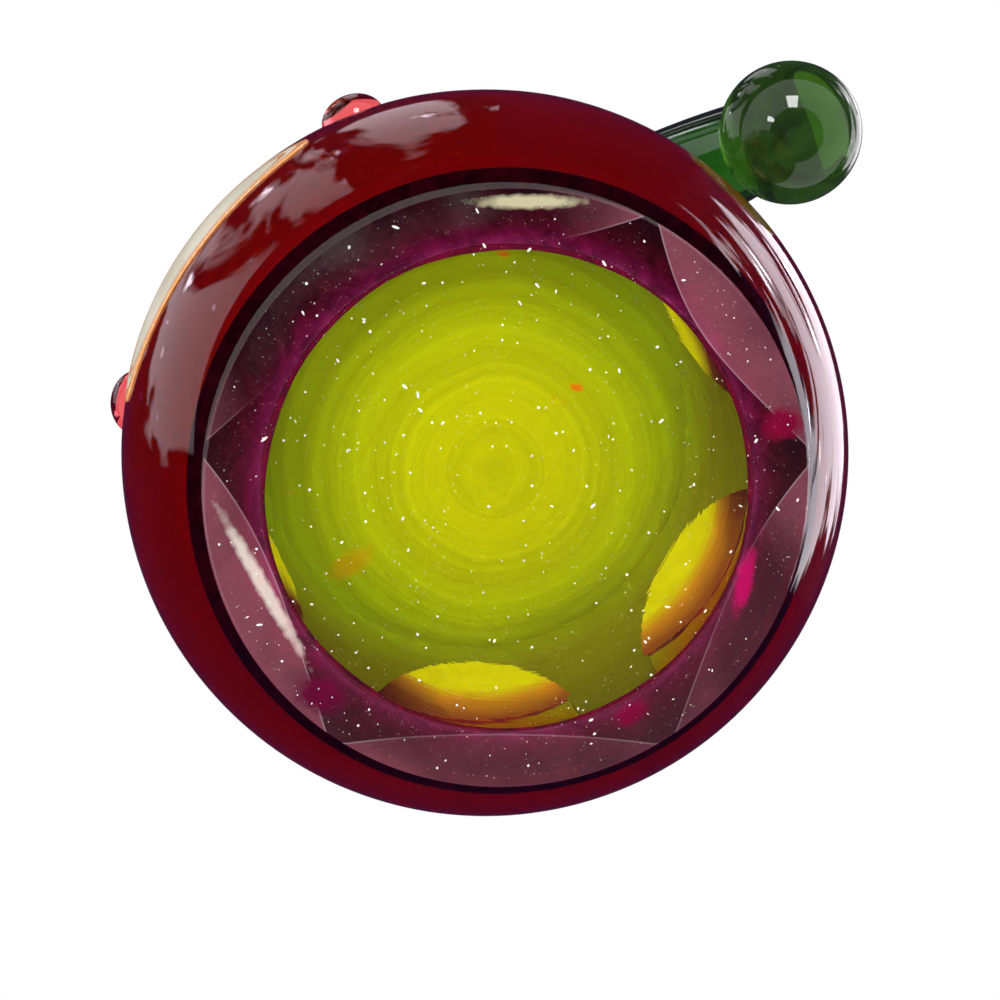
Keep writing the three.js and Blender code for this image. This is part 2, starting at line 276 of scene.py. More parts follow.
# Centre of the painted shade at the heart's rim
HEART_SHADE_SHIFT = (0.0007, -0.0029, 0)
HEART_RING = 0.0118
HEART_RING_WIDTH = 0.0003
SHINE_SIDE = (0.857, -0.515, 0.0)
SHINE_RUN = (-0.012, 0.022)
PINK_SIDE = (0.875, 0.484, 0.0)
PINK_RUN = (0.016, 0.025)
PLATE_PINK_RUN = (0.017, 0.023)
PLATE_PINK_REACH = 0.0016
IMAGE_SHIFT = (0.0033, -0.0020, 0.0)
IMAGE_EDGE = (0.0238, 0.0240)
IMAGE_BEND = 1.25

# Painted spots of light, reflections in the heart and glints on the casing's ground ring: place, turn in
# degrees, two half widths and tone

# Painted warm reflections in the heart
HEART_REFLECTIONS = (
    ((0.0182, 0.0048), 20, 0.0030, 0.0013, (0.58, 0.38, 0.004)),
    ((-0.0104, -0.0057), 70, 0.0008, 0.0004, (0.85, 0.20, 0.004)),
    ((-0.0184, 0.0080), 60, 0.0008, 0.0004, (0.80, 0.20, 0.01)),
)
# Painted glints and painted reflections on the casing's ground ring
RING_GLINTS = (
    ((-0.0192, -0.0194), 55, 0.0023, 0.0017, (0.20, 0.002, 0.03)),
    ((-0.0042, -0.0244), -20, 0.0033, 0.0009, (0.46, 0.004, 0.10)),
    ((0.0261, 0.0053), 80, 0.0026, 0.0019, (0.11, 0.003, 0.03)),
    ((0.0126, -0.0218), 30, 0.0020, 0.0012, (0.16, 0.003, 0.03)),
    ((-0.0246, 0.0130), 59, 0.0052, 0.0007, (0.62, 0.58, 0.36)),
    ((0.0197, 0.0157), -60, 0.0083, 0.0007, (0.72, 0.64, 0.56)),
)


def heading(turn, tilt):
    return Vector((cos(turn) * cos(tilt), sin(turn) * cos(tilt), sin(tilt)))


def facing(at, turn, tilt):
    """Matrix whose Z points outwards along a heading, X level and Y up the surface."""
    out = heading(turn, tilt)
    level = Vector((-sin(turn), cos(turn), 0))
    place = Matrix((level, out.cross(level), out)).transposed().to_4x4()
    place.translation = at
    return place


def round_point(out, turn, height):
    """Point at a distance from the axis, a turn round it and a height."""
    return Vector((out * cos(turn), out * sin(turn), height))


class BallForm:
    """Heights, radii and cutting planes that follow from the ball's sizes."""

    def __init__(self, ball):
        self.radius = ball.ball_radius - SKIN_INSET
        self.centre = Vector((0, 0, sqrt(ball.ball_radius**2 - ball.base_radius**2)))
        self.crown = self.centre + AXIS * self.radius
        self.core_radius = ball.ball_radius - ball.casing_wall
        self.core_z = self.centre.z + ball.core_rise
        self.flat_distance = sqrt(ball.ball_radius**2 - ball.flat_radius**2)
        self.base_plane = (Vector((0, 0, BASE_LIFT)), -AXIS)
        self.flat_planes = []
        for step in range(6):
            out = heading(ball.face_turn + step * pi / 3, ball.flat_tilt)
            self.flat_planes.append((self.centre + out * self.flat_distance, out))
        self.planes = [self.base_plane, *self.flat_planes]
        self.face_place = facing(self.flat_planes[0][0], ball.face_turn, ball.flat_tilt)

    def on_ball(self, turn, tilt):
        return self.centre + heading(turn, tilt) * self.radius

    def on_skin(self, point):
        return (point - self.centre).length > self.radius - 1e-5


# Mesh helpers

def in_plane(face, plane):
    at, out = plane
    return abs((face.calc_center_median() - at).dot(out)) < 1e-6 and abs(face.normal.dot(out)) > 0.999


def grind(form, at, out):
    """Takes away what lies beyond a plane and closes the cut."""
    everything = form.verts[:] + form.edges[:] + form.faces[:]
    cut = bmesh.ops.bisect_plane(
        form, geom=everything, dist=1e-9, plane_co=at, plane_no=out, clear_outer=True
    )
    rim = [part for part in cut["geom_cut"] if isinstance(part, bmesh.types.BMEdge)]
    bmesh.ops.contextual_create(form, geom=rim)


def cut_ball(radius, height, planes, skin):
    """Ball ground on the given planes. The skin layer is 1 on faces that meet the air."""
    form = bmesh.new()
    skin_layer = form.faces.layers.float.new("skin")
    flat_layer = form.faces.layers.float.new("flat")
    bmesh.ops.create_uvsphere(form, u_segments=ROUNDS, v_segments=ROUNDS // 2, radius=radius)
    bmesh.ops.translate(form, verts=form.verts, vec=(0, 0, height))
    for at, out in planes:
        grind(form, at, out)
    bmesh.ops.recalc_face_normals(form, faces=form.faces[:])
    form.normal_update()
    for face in form.faces:
        face[skin_layer] = skin
        for index, plane in enumerate(planes):
            if in_plane(face, plane):
                face[skin_layer] = 1.0
                face[flat_layer] = 1.0 if index else 0.0
    return form


def plane_edges(form, plane):
    at, out = plane
    return [
        edge
        for edge in form.edges
        if edge.is_boundary and all(abs((vert.co - at).dot(out)) < 1e-7 for vert in edge.verts)
    ]


def skin_over(rings):
    """Mesh over rings of points, all of one count, with a fan on each end."""
    form = bmesh.new()
    skin_layer = form.faces.layers.float.new("skin")
    loops = [[form.verts.new(point) for point in ring] for ring in rings]
    for low, high in zip(loops, loops[1:]):
        count = max(len(low), len(high))
        for step in range(count):
            corners = []
            for loop, order in ((low, (step, step + 1)), (high, (step + 1, step))):
                for place in order:
                    vert = loop[place % len(loop)]
                    if vert not in corners:
                        corners.append(vert)
            form.faces.new(corners)[skin_layer] = 1.0
    bmesh.ops.recalc_face_normals(form, faces=form.faces[:])
    form.normal_update()
    return form


def ring_over(loops):
    """Closed mesh over loops of points that follow each other round a ring."""
    form = bmesh.new()
    skin_layer = form.faces.layers.float.new("skin")
    rows = [[form.verts.new(point) for point in loop] for loop in loops]
    for low, high in zip(rows, [*rows[1:], rows[0]]):
        for part in range(len(low)):
            after = (part + 1) % len(low)
            form.faces.new((low[part], high[part], high[after], low[after]))[skin_layer] = 1.0
    bmesh.ops.recalc_face_normals(form, faces=form.faces[:])
    return form


def pushed_out(point, centre, radius):
    """Point moved straight out of a ball that it lies in."""
    away = point - centre
    return centre + away.normalized() * radius if away.length < radius else point


def absorb(target, form):
    """Adds a mesh to another and frees it."""
    holder = bpy.data.meshes.new("holder")
    form.to_mesh(holder)
    form.free()
    target.from_mesh(holder)
    bpy.data.meshes.remove(holder)


def to_piece(form, name, material, nodes, sharp=30.0):
    """Smooth-shaded object from a mesh, in place of its solids."""
    if any(not edge.is_manifold for edge in form.edges):
        raise RuntimeError(f"{name} isn't closed")
    mesh = bpy.data.meshes.new(name)
    form.to_mesh(mesh)
    form.free()
    mesh.polygons.foreach_set("use_smooth", [True] * len(mesh.polygons))
    mesh.set_sharp_from_angle(angle=radians(sharp))
    seat_piece(mesh, name, material, nodes)


def seat_piece(mesh, name, material, nodes):
    mesh.materials.clear()
    mesh.materials.append(material)
    piece = bpy.data.objects.new(name, mesh)
    bpy.context.scene.collection.objects.link(piece)
    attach(piece, BODY)
    if nodes:
        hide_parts(*nodes)


# Node helpers

def link(tree, source, target):
    tree.links.new(source, target)


def add(tree, kind, **settings):
    """Node whose sockets take a value or a link. In a socket's name, _ stands for a space."""
    node = tree.nodes.new(kind)
    for key, value in settings.items():
        socket = node.inputs.get(key.replace("_", " "))
        if socket is None:
            setattr(node, key, value)
        elif isinstance(value, bpy.types.NodeSocket):
            link(tree, value, socket)
        else:
            socket.default_value = value
    return node


def math(tree, operation, first, second=None):
    node = tree.nodes.new("ShaderNodeMath")
    node.operation = operation
    for socket, value in zip(node.inputs, (first, second)):
        if value is None:
            continue
        if isinstance(value, (int, float)):
            socket.default_value = value
        else:
            link(tree, value, socket)
    return node.outputs[0]


def blend(tree, share, first, second):
    """Colour mix; each value is a socket or a colour."""
    node = tree.nodes.new("ShaderNodeMix")
    node.data_type = "RGBA"
    for socket, value in ((node.inputs[0], share), (node.inputs[6], first), (node.inputs[7], second)):
        if isinstance(value, bpy.types.NodeSocket):
            link(tree, value, socket)
        elif isinstance(value, (int, float)):
            socket.default_value = value
        else:
            socket.default_value = (*value, 1.0)
    return node.outputs[2]


def remap(tree, value, low, high, to_low, to_high):
    node = add(
        tree, "ShaderNodeMapRange", Value=value, From_Min=low, From_Max=high, To_Min=to_low, To_Max=to_high
    )
    return node.outputs["Result"]


def mix_shaders(tree, share, first, second):
    node = tree.nodes.new("ShaderNodeMixShader")
    for socket, value in zip(node.inputs, (share, first, second)):
        link(tree, value, socket)
    return node.outputs[0]


def noise(tree, place, **settings):
    """Cloudy pattern over a place."""
    node = add(tree, "ShaderNodeTexNoise", noise_dimensions="3D", Vector=place, **settings)
    return node.outputs["Fac"]


def attribute(tree, name):
    return add(tree, "ShaderNodeAttribute", attribute_name=name).outputs["Fac"]


def parts_of(tree, place):
    return add(tree, "ShaderNodeSeparateXYZ", Vector=place).outputs


def object_place(tree, shift=(0, 0, 0), scale=(1, 1, 1)):
    coords = tree.nodes.new("ShaderNodeTexCoord")
    mapping = add(
        tree, "ShaderNodeMapping", Vector=coords.outputs["Object"], Location=shift, Scale=scale
    )
    return mapping.outputs["Vector"]


def level_place(tree):
    """Object coordinates without their height."""
    return object_place(tree, scale=(1, 1, 0))


def distance_along(tree, place, direction):
    """How far a place lies along a direction."""
    node = add(tree, "ShaderNodeVectorMath", operation="DOT_PRODUCT", Vector=place)
    node.inputs[1].default_value = direction
    return node.outputs["Value"]


def distance_out(tree, across, upward):
    """How far a place lies from the middle, by its two level parts."""
    across_square = math(tree, "MULTIPLY", across, across)
    upward_square = math(tree, "MULTIPLY", upward, upward)
    return math(tree, "SQRT", math(tree, "ADD", across_square, upward_square))


def place_length(tree, place):
    return add(tree, "ShaderNodeVectorMath", operation="LENGTH", Vector=place).outputs["Value"]


def bump(tree, height, strength, distance):
    node = add(tree, "ShaderNodeBump", Height=height, Strength=strength, Distance=distance)
    return node.outputs["Normal"]


# Effects that several materials share

def new_group(name, values, masks):
    """Shader group that takes a place and the named values, and puts out the named masks."""
    tree = bpy.data.node_groups.new(name, "ShaderNodeTree")
    tree.interface.new_socket("Vector", in_out="INPUT", socket_type="NodeSocketVector")
    for label, default in values.items():
        kind = "NodeSocketFloat" if isinstance(default, float) else "NodeSocketVector"
        socket = tree.interface.new_socket(label, in_out="INPUT", socket_type=kind)
        socket.default_value = default
    for label in masks:
        tree.interface.new_socket(label, in_out="OUTPUT", socket_type="NodeSocketFloat")
    given = tree.nodes.new("NodeGroupInput").outputs
    put = tree.nodes.new("NodeGroupOutput").inputs
    return tree, given, put


def use_group(tree, name, vector, **values):
    node = tree.nodes.new("ShaderNodeGroup")
    node.node_tree = bpy.data.node_groups[name]
    link(tree, vector, node.inputs["Vector"])
    for key, value in values.items():
        node.inputs[key].default_value = value
    return node.outputs


def striae_group():
    """Cords and waves left in glass that was gathered and turned hot."""
    tree, given, put = new_group("Striae", {"Scale": 60.0, "Twist": 1.5}, ("Cord", "Wave"))
    place = given["Vector"]
    cord = noise(tree, place, Scale=given["Scale"], Detail=4.0, Roughness=0.6, Distortion=given["Twist"])
    wave = noise(tree, place, Scale=math(tree, "MULTIPLY", given["Scale"], 0.4), Detail=1.0)
    link(tree, cord, put["Cord"])
    link(tree, wave, put["Wave"])


def handling_group():
    """Smudges from hands and fine specks of dust."""
    tree, given, put = new_group("Handling", {"Scale": 300.0, "Specks": 0.1}, ("Smudge", "Speck"))
    place = given["Vector"]
    smudge = noise(tree, place, Scale=math(tree, "MULTIPLY", given["Scale"], 0.35), Detail=6.0)
    fine = math(tree, "MULTIPLY", given["Scale"], 4.0)
    cells = add(tree, "ShaderNodeTexVoronoi", voronoi_dimensions="3D", Vector=place, Scale=fine)
    speck = math(tree, "LESS_THAN", cells.outputs["Distance"], given["Specks"])
    link(tree, remap(tree, smudge, 0.42, 0.68, 0.0, 1.0), put["Smudge"])
    link(tree, speck, put["Speck"])


def swirl_group():
    """Fine rings round Z, pulled out of round, as turning and polishing leave them."""
    tree, given, put = new_group("Swirl", {"Pitch": 400.0, "Pull": 0.002}, ("Ring", "Radius"))
    pull = noise(tree, given["Vector"], Scale=90.0, Detail=3.0)
    level = parts_of(tree, given["Vector"])
    radius = distance_out(tree, level["X"], level["Y"])
    shift = math(tree, "MULTIPLY", math(tree, "SUBTRACT", pull, 0.5), given["Pull"])
    pulled = math(tree, "ADD", radius, shift)
    rings = add(
        tree,
        "ShaderNodeTexNoise",
        noise_dimensions="1D",
        W=pulled,
        Scale=given["Pitch"],
        Detail=5.0,
        Roughness=0.65,
    )
    link(tree, rings.outputs["Fac"], put["Ring"])
    link(tree, pulled, put["Radius"])


def spot_group():
    """Ragged oval spot, 1 in its middle and 0 outside."""
    values = {"Place": (0.0, 0.0, 0.0), "Turn": (0.0, 0.0, 0.0), "Halves": (1.0, 1.0, 1.0)}
    tree, given, put = new_group("Spot", values, ("Mask",))
    grain = noise(tree, given["Vector"], Scale=900.0, Detail=3.0)
    wander = math(tree, "MULTIPLY", math(tree, "SUBTRACT", grain, 0.5), 0.8)
    oval = add(
        tree,
        "ShaderNodeMapping",
        vector_type="TEXTURE",
        Vector=given["Vector"],
        Location=given["Place"],
        Rotation=given["Turn"],
        Scale=given["Halves"],
    )
    ragged = math(tree, "ADD", place_length(tree, oval.outputs["Vector"]), wander)
    link(tree, remap(tree, ragged, 0.55, 1.15, 1.0, 0.0), put["Mask"])


def paint_spots(tree, place, body, spots):
    """Spots over a colour."""
    for (across, upward), turn, half_long, half_wide, tone in spots:
        spot = use_group(
            tree,
            "Spot",
            place,
            Place=(across, upward, 0.0),
            Turn=(0.0, 0.0, radians(turn)),
            Halves=(half_long, half_wide, 1.0),
        )
        body = blend(tree, spot["Mask"], body, tone)
    return body


# Materials

def new_material(name):
    material = bpy.data.materials.new(name)
    material.use_nodes = True
    tree = material.node_tree
    tree.nodes.clear()
    return material, tree, tree.nodes.new("ShaderNodeOutputMaterial")


def ring_shine(tree, smudge, colours):
    """Painted light on the casing's ground ring: painted reflections of the flats, made uneven by smudges,
    painted shade in the corners and a few painted glints.
    """
    place = level_place(tree)
    shifted = parts_of(tree, object_place(tree, shift=IMAGE_SHIFT))
    turn = math(tree, "ARCTAN2", shifted["Y"], shifted["X"])
    off = math(tree, "PINGPONG", math(tree, "ADD", turn, 2.5 * pi), pi / 6)
    bent = math(tree, "COSINE", math(tree, "MULTIPLY", off, IMAGE_BEND))
    image_place = math(tree, "MULTIPLY", place_length(tree, place), bent)
    image = remap(tree, image_place, *IMAGE_EDGE, 0.0, 1.0)
    low_side = remap(tree, distance_along(tree, place, SHINE_SIDE), *SHINE_RUN, 0.03, 0.48)
    aside = math(tree, "ABSOLUTE", distance_along(tree, place, PINK_SIDE))
    pink_side = remap(tree, aside, *PINK_RUN, 0.0, 1.0)
    level = math(tree, "MULTIPLY", math(tree, "MAXIMUM", low_side, pink_side), image)
    shine_level = math(tree, "MAXIMUM", level, math(tree, "MULTIPLY", low_side, 0.5))
    uneven = remap(tree, smudge, 0.0, 1.0, 0.7, 1.25)
    # Painted shade in the corners, painted light over the flats' reflections
    shine = blend(tree, math(tree, "MULTIPLY", shine_level, uneven), colours.ring_dark, colours.ring_painted_light)
    edge = math(tree, "MULTIPLY", math(tree, "MULTIPLY", level, uneven), 4.0)
    outline = math(tree, "MULTIPLY", math(tree, "SUBTRACT", 1.0, image), edge)
    shine = blend(tree, outline, shine, colours.image_line)
    # Painted glints and painted reflections on the ring
    return paint_spots(tree, place, shine, RING_GLINTS)


def ground_marks(tree, cord):
    """Fine rings left by polishing the base, and a broken round scar near its middle."""
    swirl = use_group(tree, "Swirl", object_place(tree, shift=POLISH_SHIFT), Pitch=260.0, Pull=0.0015)
    mark = use_group(tree, "Swirl", object_place(tree, shift=SCAR_SHIFT), Pitch=260.0, Pull=0.0012)
    band = math(tree, "ABSOLUTE", math(tree, "SUBTRACT", mark["Radius"], SCAR_RADIUS))
    ridge = remap(tree, band, 0.0, SCAR_WIDTH, 1.0, 0.0)
    scar = math(tree, "MULTIPLY", ridge, remap(tree, cord, 0.45, 0.55, 0.0, 1.0))
    rings = math(tree, "MULTIPLY", swirl["Ring"], 0.4)
    return math(tree, "ADD", rings, math(tree, "MULTIPLY", scar, 14.0))


def clear_glass(name, stain, depth, scale, glow=None, ground=False, ring=None):
    """Glass to look through, stained by its depth. Fused faces, skin 0, bend no light.

    A glow is painted light that clouds the whole glass. Ground glass has a polished base. On ground glass,
    the colours given as ring paint light and shade onto its base.
    """
    material, tree, output = new_material(name)
    glass = add(tree, "ShaderNodeBsdfPrincipled", IOR=GLASS_IOR, Transmission_Weight=1.0)
    glass.inputs["Base Color"].default_value = (1.0, 1.0, 1.0, 1.0)
    place = object_place(tree)
    striae = use_group(tree, "Striae", place, Scale=scale, Twist=1.2)
    handling = use_group(tree, "Handling", place, Scale=260.0, Specks=0.06)
    rough = remap(tree, handling["Smudge"], 0.0, 1.0, 0.004, 0.03)
    height = striae["Wave"]
    shine = None
    # Painted glow, clouded by the cords
    if glow is not None:
        cloud = remap(tree, striae["Cord"], 0.38, 0.62, 0.15, 1.0)
        shine = blend(tree, cloud, NO_LIGHT, glow)
    if ground:
        rough = math(tree, "ADD", rough, math(tree, "MULTIPLY", attribute(tree, "flat"), 0.02))
        low = math(tree, "LESS_THAN", parts_of(tree, place)["Z"], GROUND_TOP)
        marks = ground_marks(tree, striae["Cord"])
        height = math(tree, "ADD", height, math(tree, "MULTIPLY", marks, low))
        # Painted light and shade on the casing's ground ring, emitted below GROUND_TOP
        if ring is not None:
            shine = blend(tree, low, NO_LIGHT, ring_shine(tree, handling["Smudge"], ring))
    if shine is not None:
        link(tree, shine, glass.inputs["Emission Color"])
        glass.inputs["Emission Strength"].default_value = 1.0
    link(tree, rough, glass.inputs["Roughness"])
    link(tree, bump(tree, height, 0.12, 0.0004), glass.inputs["Normal"])
    fused = add(tree, "ShaderNodeBsdfTransparent").outputs[0]
    shown = mix_shaders(tree, attribute(tree, "skin"), fused, glass.outputs[0])
    path = tree.nodes.new("ShaderNodeLightPath")
    lit = mix_shaders(tree, path.outputs["Is Shadow Ray"], shown, fused)
    link(tree, lit, output.inputs["Surface"])
    depths = add(tree, "ShaderNodeVolumeAbsorption", Color=(*stain, 1.0), Density=depth)
    link(tree, depths.outputs[0], output.inputs["Volume"])
    return material


def opaque_glass(name, colours, key, scale, sheen=0.08, gloss=1.0):
    """Solid coloured glass, fire polished: cords of a second shade, faint smudges."""
    material, tree, output = new_material(name)
    glass = add(
        tree,
        "ShaderNodeBsdfPrincipled",
        IOR=GLASS_IOR,
        Coat_Weight=0.3 * gloss,
        Specular_IOR_Level=0.5 * gloss,
    )
    place = object_place(tree)
    striae = use_group(tree, "Striae", place, Scale=scale, Twist=2.5)
    handling = use_group(tree, "Handling", place, Scale=420.0, Specks=0.05)
    cord = remap(tree, striae["Cord"], 0.35, 0.7, 0.0, 1.0)
    toned = blend(tree, cord, getattr(colours, key), getattr(colours, f"{key}_shade"))
    speck = math(tree, "MULTIPLY", handling["Speck"], 0.35)
    link(tree, blend(tree, speck, toned, colours.glass_dust), glass.inputs["Base Color"])
    rough = remap(tree, handling["Smudge"], 0.0, 1.0, sheen, sheen + 0.12)
    link(tree, rough, glass.inputs["Roughness"])
    link(tree, bump(tree, striae["Wave"], 0.2, 0.0003), glass.inputs["Normal"])
    link(tree, glass.outputs[0], output.inputs["Surface"])
    return material


def heart_glass(colours, edge):
    """Yellow-green glass seen from below: swirled rings, greener towards the edge with painted shade at its
    rim, warm painted reflections.
    """
    material, tree, output = new_material("Heart glass")
    glass = add(tree, "ShaderNodeBsdfPrincipled", Roughness=0.55, Specular_IOR_Level=0.0)
    place = object_place(tree, shift=HEART_SHIFT)
    swirl = use_group(tree, "Swirl", place, Pitch=380.0, Pull=0.0016)
    striae = use_group(tree, "Striae", place, Scale=55.0, Twist=3.0)
    out = remap(tree, swirl["Radius"], edge * 0.3, edge * 0.9, 0.0, 1.0)
    side = blend(tree, out, colours.heart_middle, colours.heart_side)
    # Painted shade: the rim darkens towards heart_rim_shade
    outer = use_group(tree, "Swirl", object_place(tree, shift=HEART_SHADE_SHIFT), Pitch=330.0, Pull=0.003)
    rim_shade = remap(tree, outer["Radius"], edge * 0.95, edge * 1.2, 0.0, 1.0)
    body = blend(tree, rim_shade, side, colours.heart_rim_shade)
    off_ring = math(tree, "ABSOLUTE", math(tree, "SUBTRACT", swirl["Radius"], HEART_RING))
    line = remap(tree, off_ring, 0.0, HEART_RING_WIDTH, 0.35, 0.0)
    ring = math(tree, "MAXIMUM", remap(tree, swirl["Ring"], 0.35, 0.65, 0.0, 0.6), line)
    ringed = blend(tree, ring, body, blend(tree, 0.6, body, colours.heart_ring))
    # Painted reflections: warm flecks along the cords and listed spots
    fleck = remap(tree, striae["Cord"], 0.66, 0.76, 0.0, 0.8)
    reflected = blend(tree, fleck, ringed, colours.heart_reflection)
    spotted = paint_spots(tree, level_place(tree), reflected, HEART_REFLECTIONS)
    link(tree, spotted, glass.inputs["Base Color"])
    link(tree, bump(tree, swirl["Ring"], 0.3, 0.0006), glass.inputs["Normal"])
    link(tree, glass.outputs[0], output.inputs["Surface"])
    return material


def exposed_glass(colours, edge):
    """Yellow glass laid bare behind a flat, with a painted glow for light from outside, and a warm, dark
    outer edge.
    """
    material, tree, output = new_material("Exposed glass")
    glass = add(tree, "ShaderNodeBsdfPrincipled", Roughness=0.5, Specular_IOR_Level=0.0)
    place = object_place(tree)
    swirl = use_group(tree, "Swirl", place, Pitch=900.0, Pull=0.0008)
    striae = use_group(tree, "Striae", place, Scale=140.0, Twist=2.0)
    aside = math(tree, "ABSOLUTE", distance_along(tree, place, PINK_SIDE))
    pink = remap(tree, aside, *PLATE_PINK_RUN, 0.0, 1.0)
    reach = math(tree, "ADD", swirl["Radius"], math(tree, "MULTIPLY", pink, PLATE_PINK_REACH))
    warm = remap(tree, reach, edge - 0.0026, edge - 0.0016, 0.0, 1.0)
    brown = remap(tree, reach, edge - 0.0016, edge - 0.0003, 0.0, 1.0)
    edged = blend(tree, pink, colours.exposed_edge, colours.exposed_pink)
    ended = blend(tree, pink, colours.exposed_end, colours.exposed_plum)
    body = blend(tree, brown, blend(tree, warm, colours.exposed, edged), ended)
    cord = remap(tree, striae["Cord"], 0.45, 0.7, 0.0, 0.35)
    toned = blend(tree, cord, body, blend(tree, 0.5, body, colours.exposed_cord))
    link(tree, toned, glass.inputs["Base Color"])
    # Painted glow: the plate emits its own colour as light from outside
    link(tree, toned, glass.inputs["Emission Color"])
    glass.inputs["Emission Strength"].default_value = 0.3
    link(tree, bump(tree, swirl["Ring"], 0.2, 0.0003), glass.inputs["Normal"])
    link(tree, glass.outputs[0], output.inputs["Surface"])
    return material


def label_paper(colours):
    """Cream paper with a printed line round it, fibres and worn edges."""
    material, tree, output = new_material("Label paper")
    paper = add(tree, "ShaderNodeBsdfPrincipled", Specular_IOR_Level=0.25)
    oval = parts_of(tree, add(tree, "ShaderNodeUVMap", uv_map="oval").outputs[0])
    across = math(tree, "SUBTRACT", oval["X"], 0.5)
    upward = math(tree, "SUBTRACT", oval["Y"], 0.5)
    out = math(tree, "MULTIPLY", distance_out(tree, across, upward), 2.0)
    place = object_place(tree)
    fibre = noise(tree, place, Scale=2600.0, Detail=5.0)
    handling = use_group(tree, "Handling", place, Scale=500.0, Specks=0.08)
    past_line = math(tree, "GREATER_THAN", out, 0.80)
    line = math(tree, "MULTIPLY", past_line, math(tree, "LESS_THAN", out, 0.86))
    printed = math(tree, "MAXIMUM", line, math(tree, "GREATER_THAN", out, 0.93))
    inked = math(tree, "MULTIPLY", printed, remap(tree, fibre, 0.3, 0.5, 0.55, 0.95))
    ground = blend(tree, remap(tree, fibre, 0.3, 0.7, 0.0, 0.35), colours.paper, colours.paper_fibre)
    soil = math(tree, "MULTIPLY", handling["Smudge"], 0.3)
    soiled = blend(tree, soil, ground, colours.paper_soil)
    link(tree, blend(tree, inked, soiled, colours.paper_edge), paper.inputs["Base Color"])
    link(tree, remap(tree, fibre, 0.3, 0.7, 0.5, 0.75), paper.inputs["Roughness"])
    link(tree, bump(tree, fibre, 0.25, 0.00005), paper.inputs["Normal"])
    link(tree, paper.outputs[0], output.inputs["Surface"])
    return material


def dust_material(colours):
    """Pale grit, each speck a little different."""
    material, tree, output = new_material("Dust")
    grit = add(tree, "ShaderNodeBsdfPrincipled", Specular_IOR_Level=0.2)
    cells = noise(tree, object_place(tree), Scale=700.0)
    tone = remap(tree, cells, 0.35, 0.65, 0.0, 0.6)
    link(tree, blend(tree, tone, colours.dust, colours.dust_shade), grit.inputs["Base Color"])
    link(tree, remap(tree, cells, 0.3, 0.7, 0.6, 0.95), grit.inputs["Roughness"])
    link(tree, grit.outputs[0], output.inputs["Surface"])
    return material


# Pieces of the ball

def heart_form(form, ball):
    """Rounded underside that thins out to a lining of the core's upper wall, ground away at the flats."""
    skin = form.core_radius - HEART_INSET
    lining = skin - ball.lining_wall
    edge = ball.heart_edge
    edge_z = form.core_z + sqrt(lining**2 - edge**2)
    bowl_z = edge_z + sqrt(ball.heart_bowl**2 - edge**2)
    lowest = acos((ball.lining_end - form.core_z) / skin)
    profile = []
    for step in range(49):
        lean = asin(edge / ball.heart_bowl) * step / 48
        profile.append((ball.heart_bowl * sin(lean), bowl_z - ball.heart_bowl * cos(lean)))
    start = asin(edge / lining)
    for step in range(1, 25):
        lean = start + (lowest - start) * step / 24
        profile.append((lining * sin(lean), form.core_z + lining * cos(lean)))
    for step in range(61):
        lean = lowest * (1 - step / 60)
        profile.append((skin * sin(lean), form.core_z + skin * cos(lean)))
    rings = []
    for out, height in profile:
        count = ROUNDS if out > 1e-7 else 1
        rings.append([round_point(out, 2 * pi * step / count, height) for step in range(count)])
    heart = skin_over(rings)
    for at, out in form.flat_planes:
        grind(heart, at - out * HEART_INSET, out)
    bmesh.ops.recalc_face_normals(heart, faces=heart.faces[:])
    return heart


def seam_form(form):
    """Fine line where the core's skin meets the ground base."""
    radius = sqrt(form.core_radius**2 - (form.core_z - BASE_LIFT) ** 2)
    loops = []
    for step in range(ROUNDS):
        turn = 2 * pi * step / ROUNDS
        half = SEAM_WIDE / 2 * (1 + 0.25 * sin(5 * turn + 1.0) + 0.15 * sin(11 * turn))
        loop = []
        for part in range(8):
            lean = 2 * pi * part / 8
            height = BASE_LIFT + SEAM_TALL * (0.6 + 0.5 * sin(lean))
            loop.append(round_point(radius + half * cos(lean), turn, height))
        loops.append(loop)
    return ring_over(loops)


def lining_form(form):
    """Thin dark band low on the core's wall, over the casing's ground ring."""
    outer = form.core_radius - HEART_INSET
    inner = outer - LINING_THICK
    heights = [LINING_FOOT + (LINING_HEAD - LINING_FOOT) * step / 10 for step in range(11)]
    profile = [(sqrt(outer**2 - (height - form.core_z) ** 2), height) for height in heights]
    profile += [(sqrt(inner**2 - (height - form.core_z) ** 2), height) for height in reversed(heights)]
    loops = []
    for step in range(ROUNDS):
        turn = 2 * pi * step / ROUNDS
        loops.append([round_point(out, turn, height) for out, height in profile])
    return ring_over(loops)


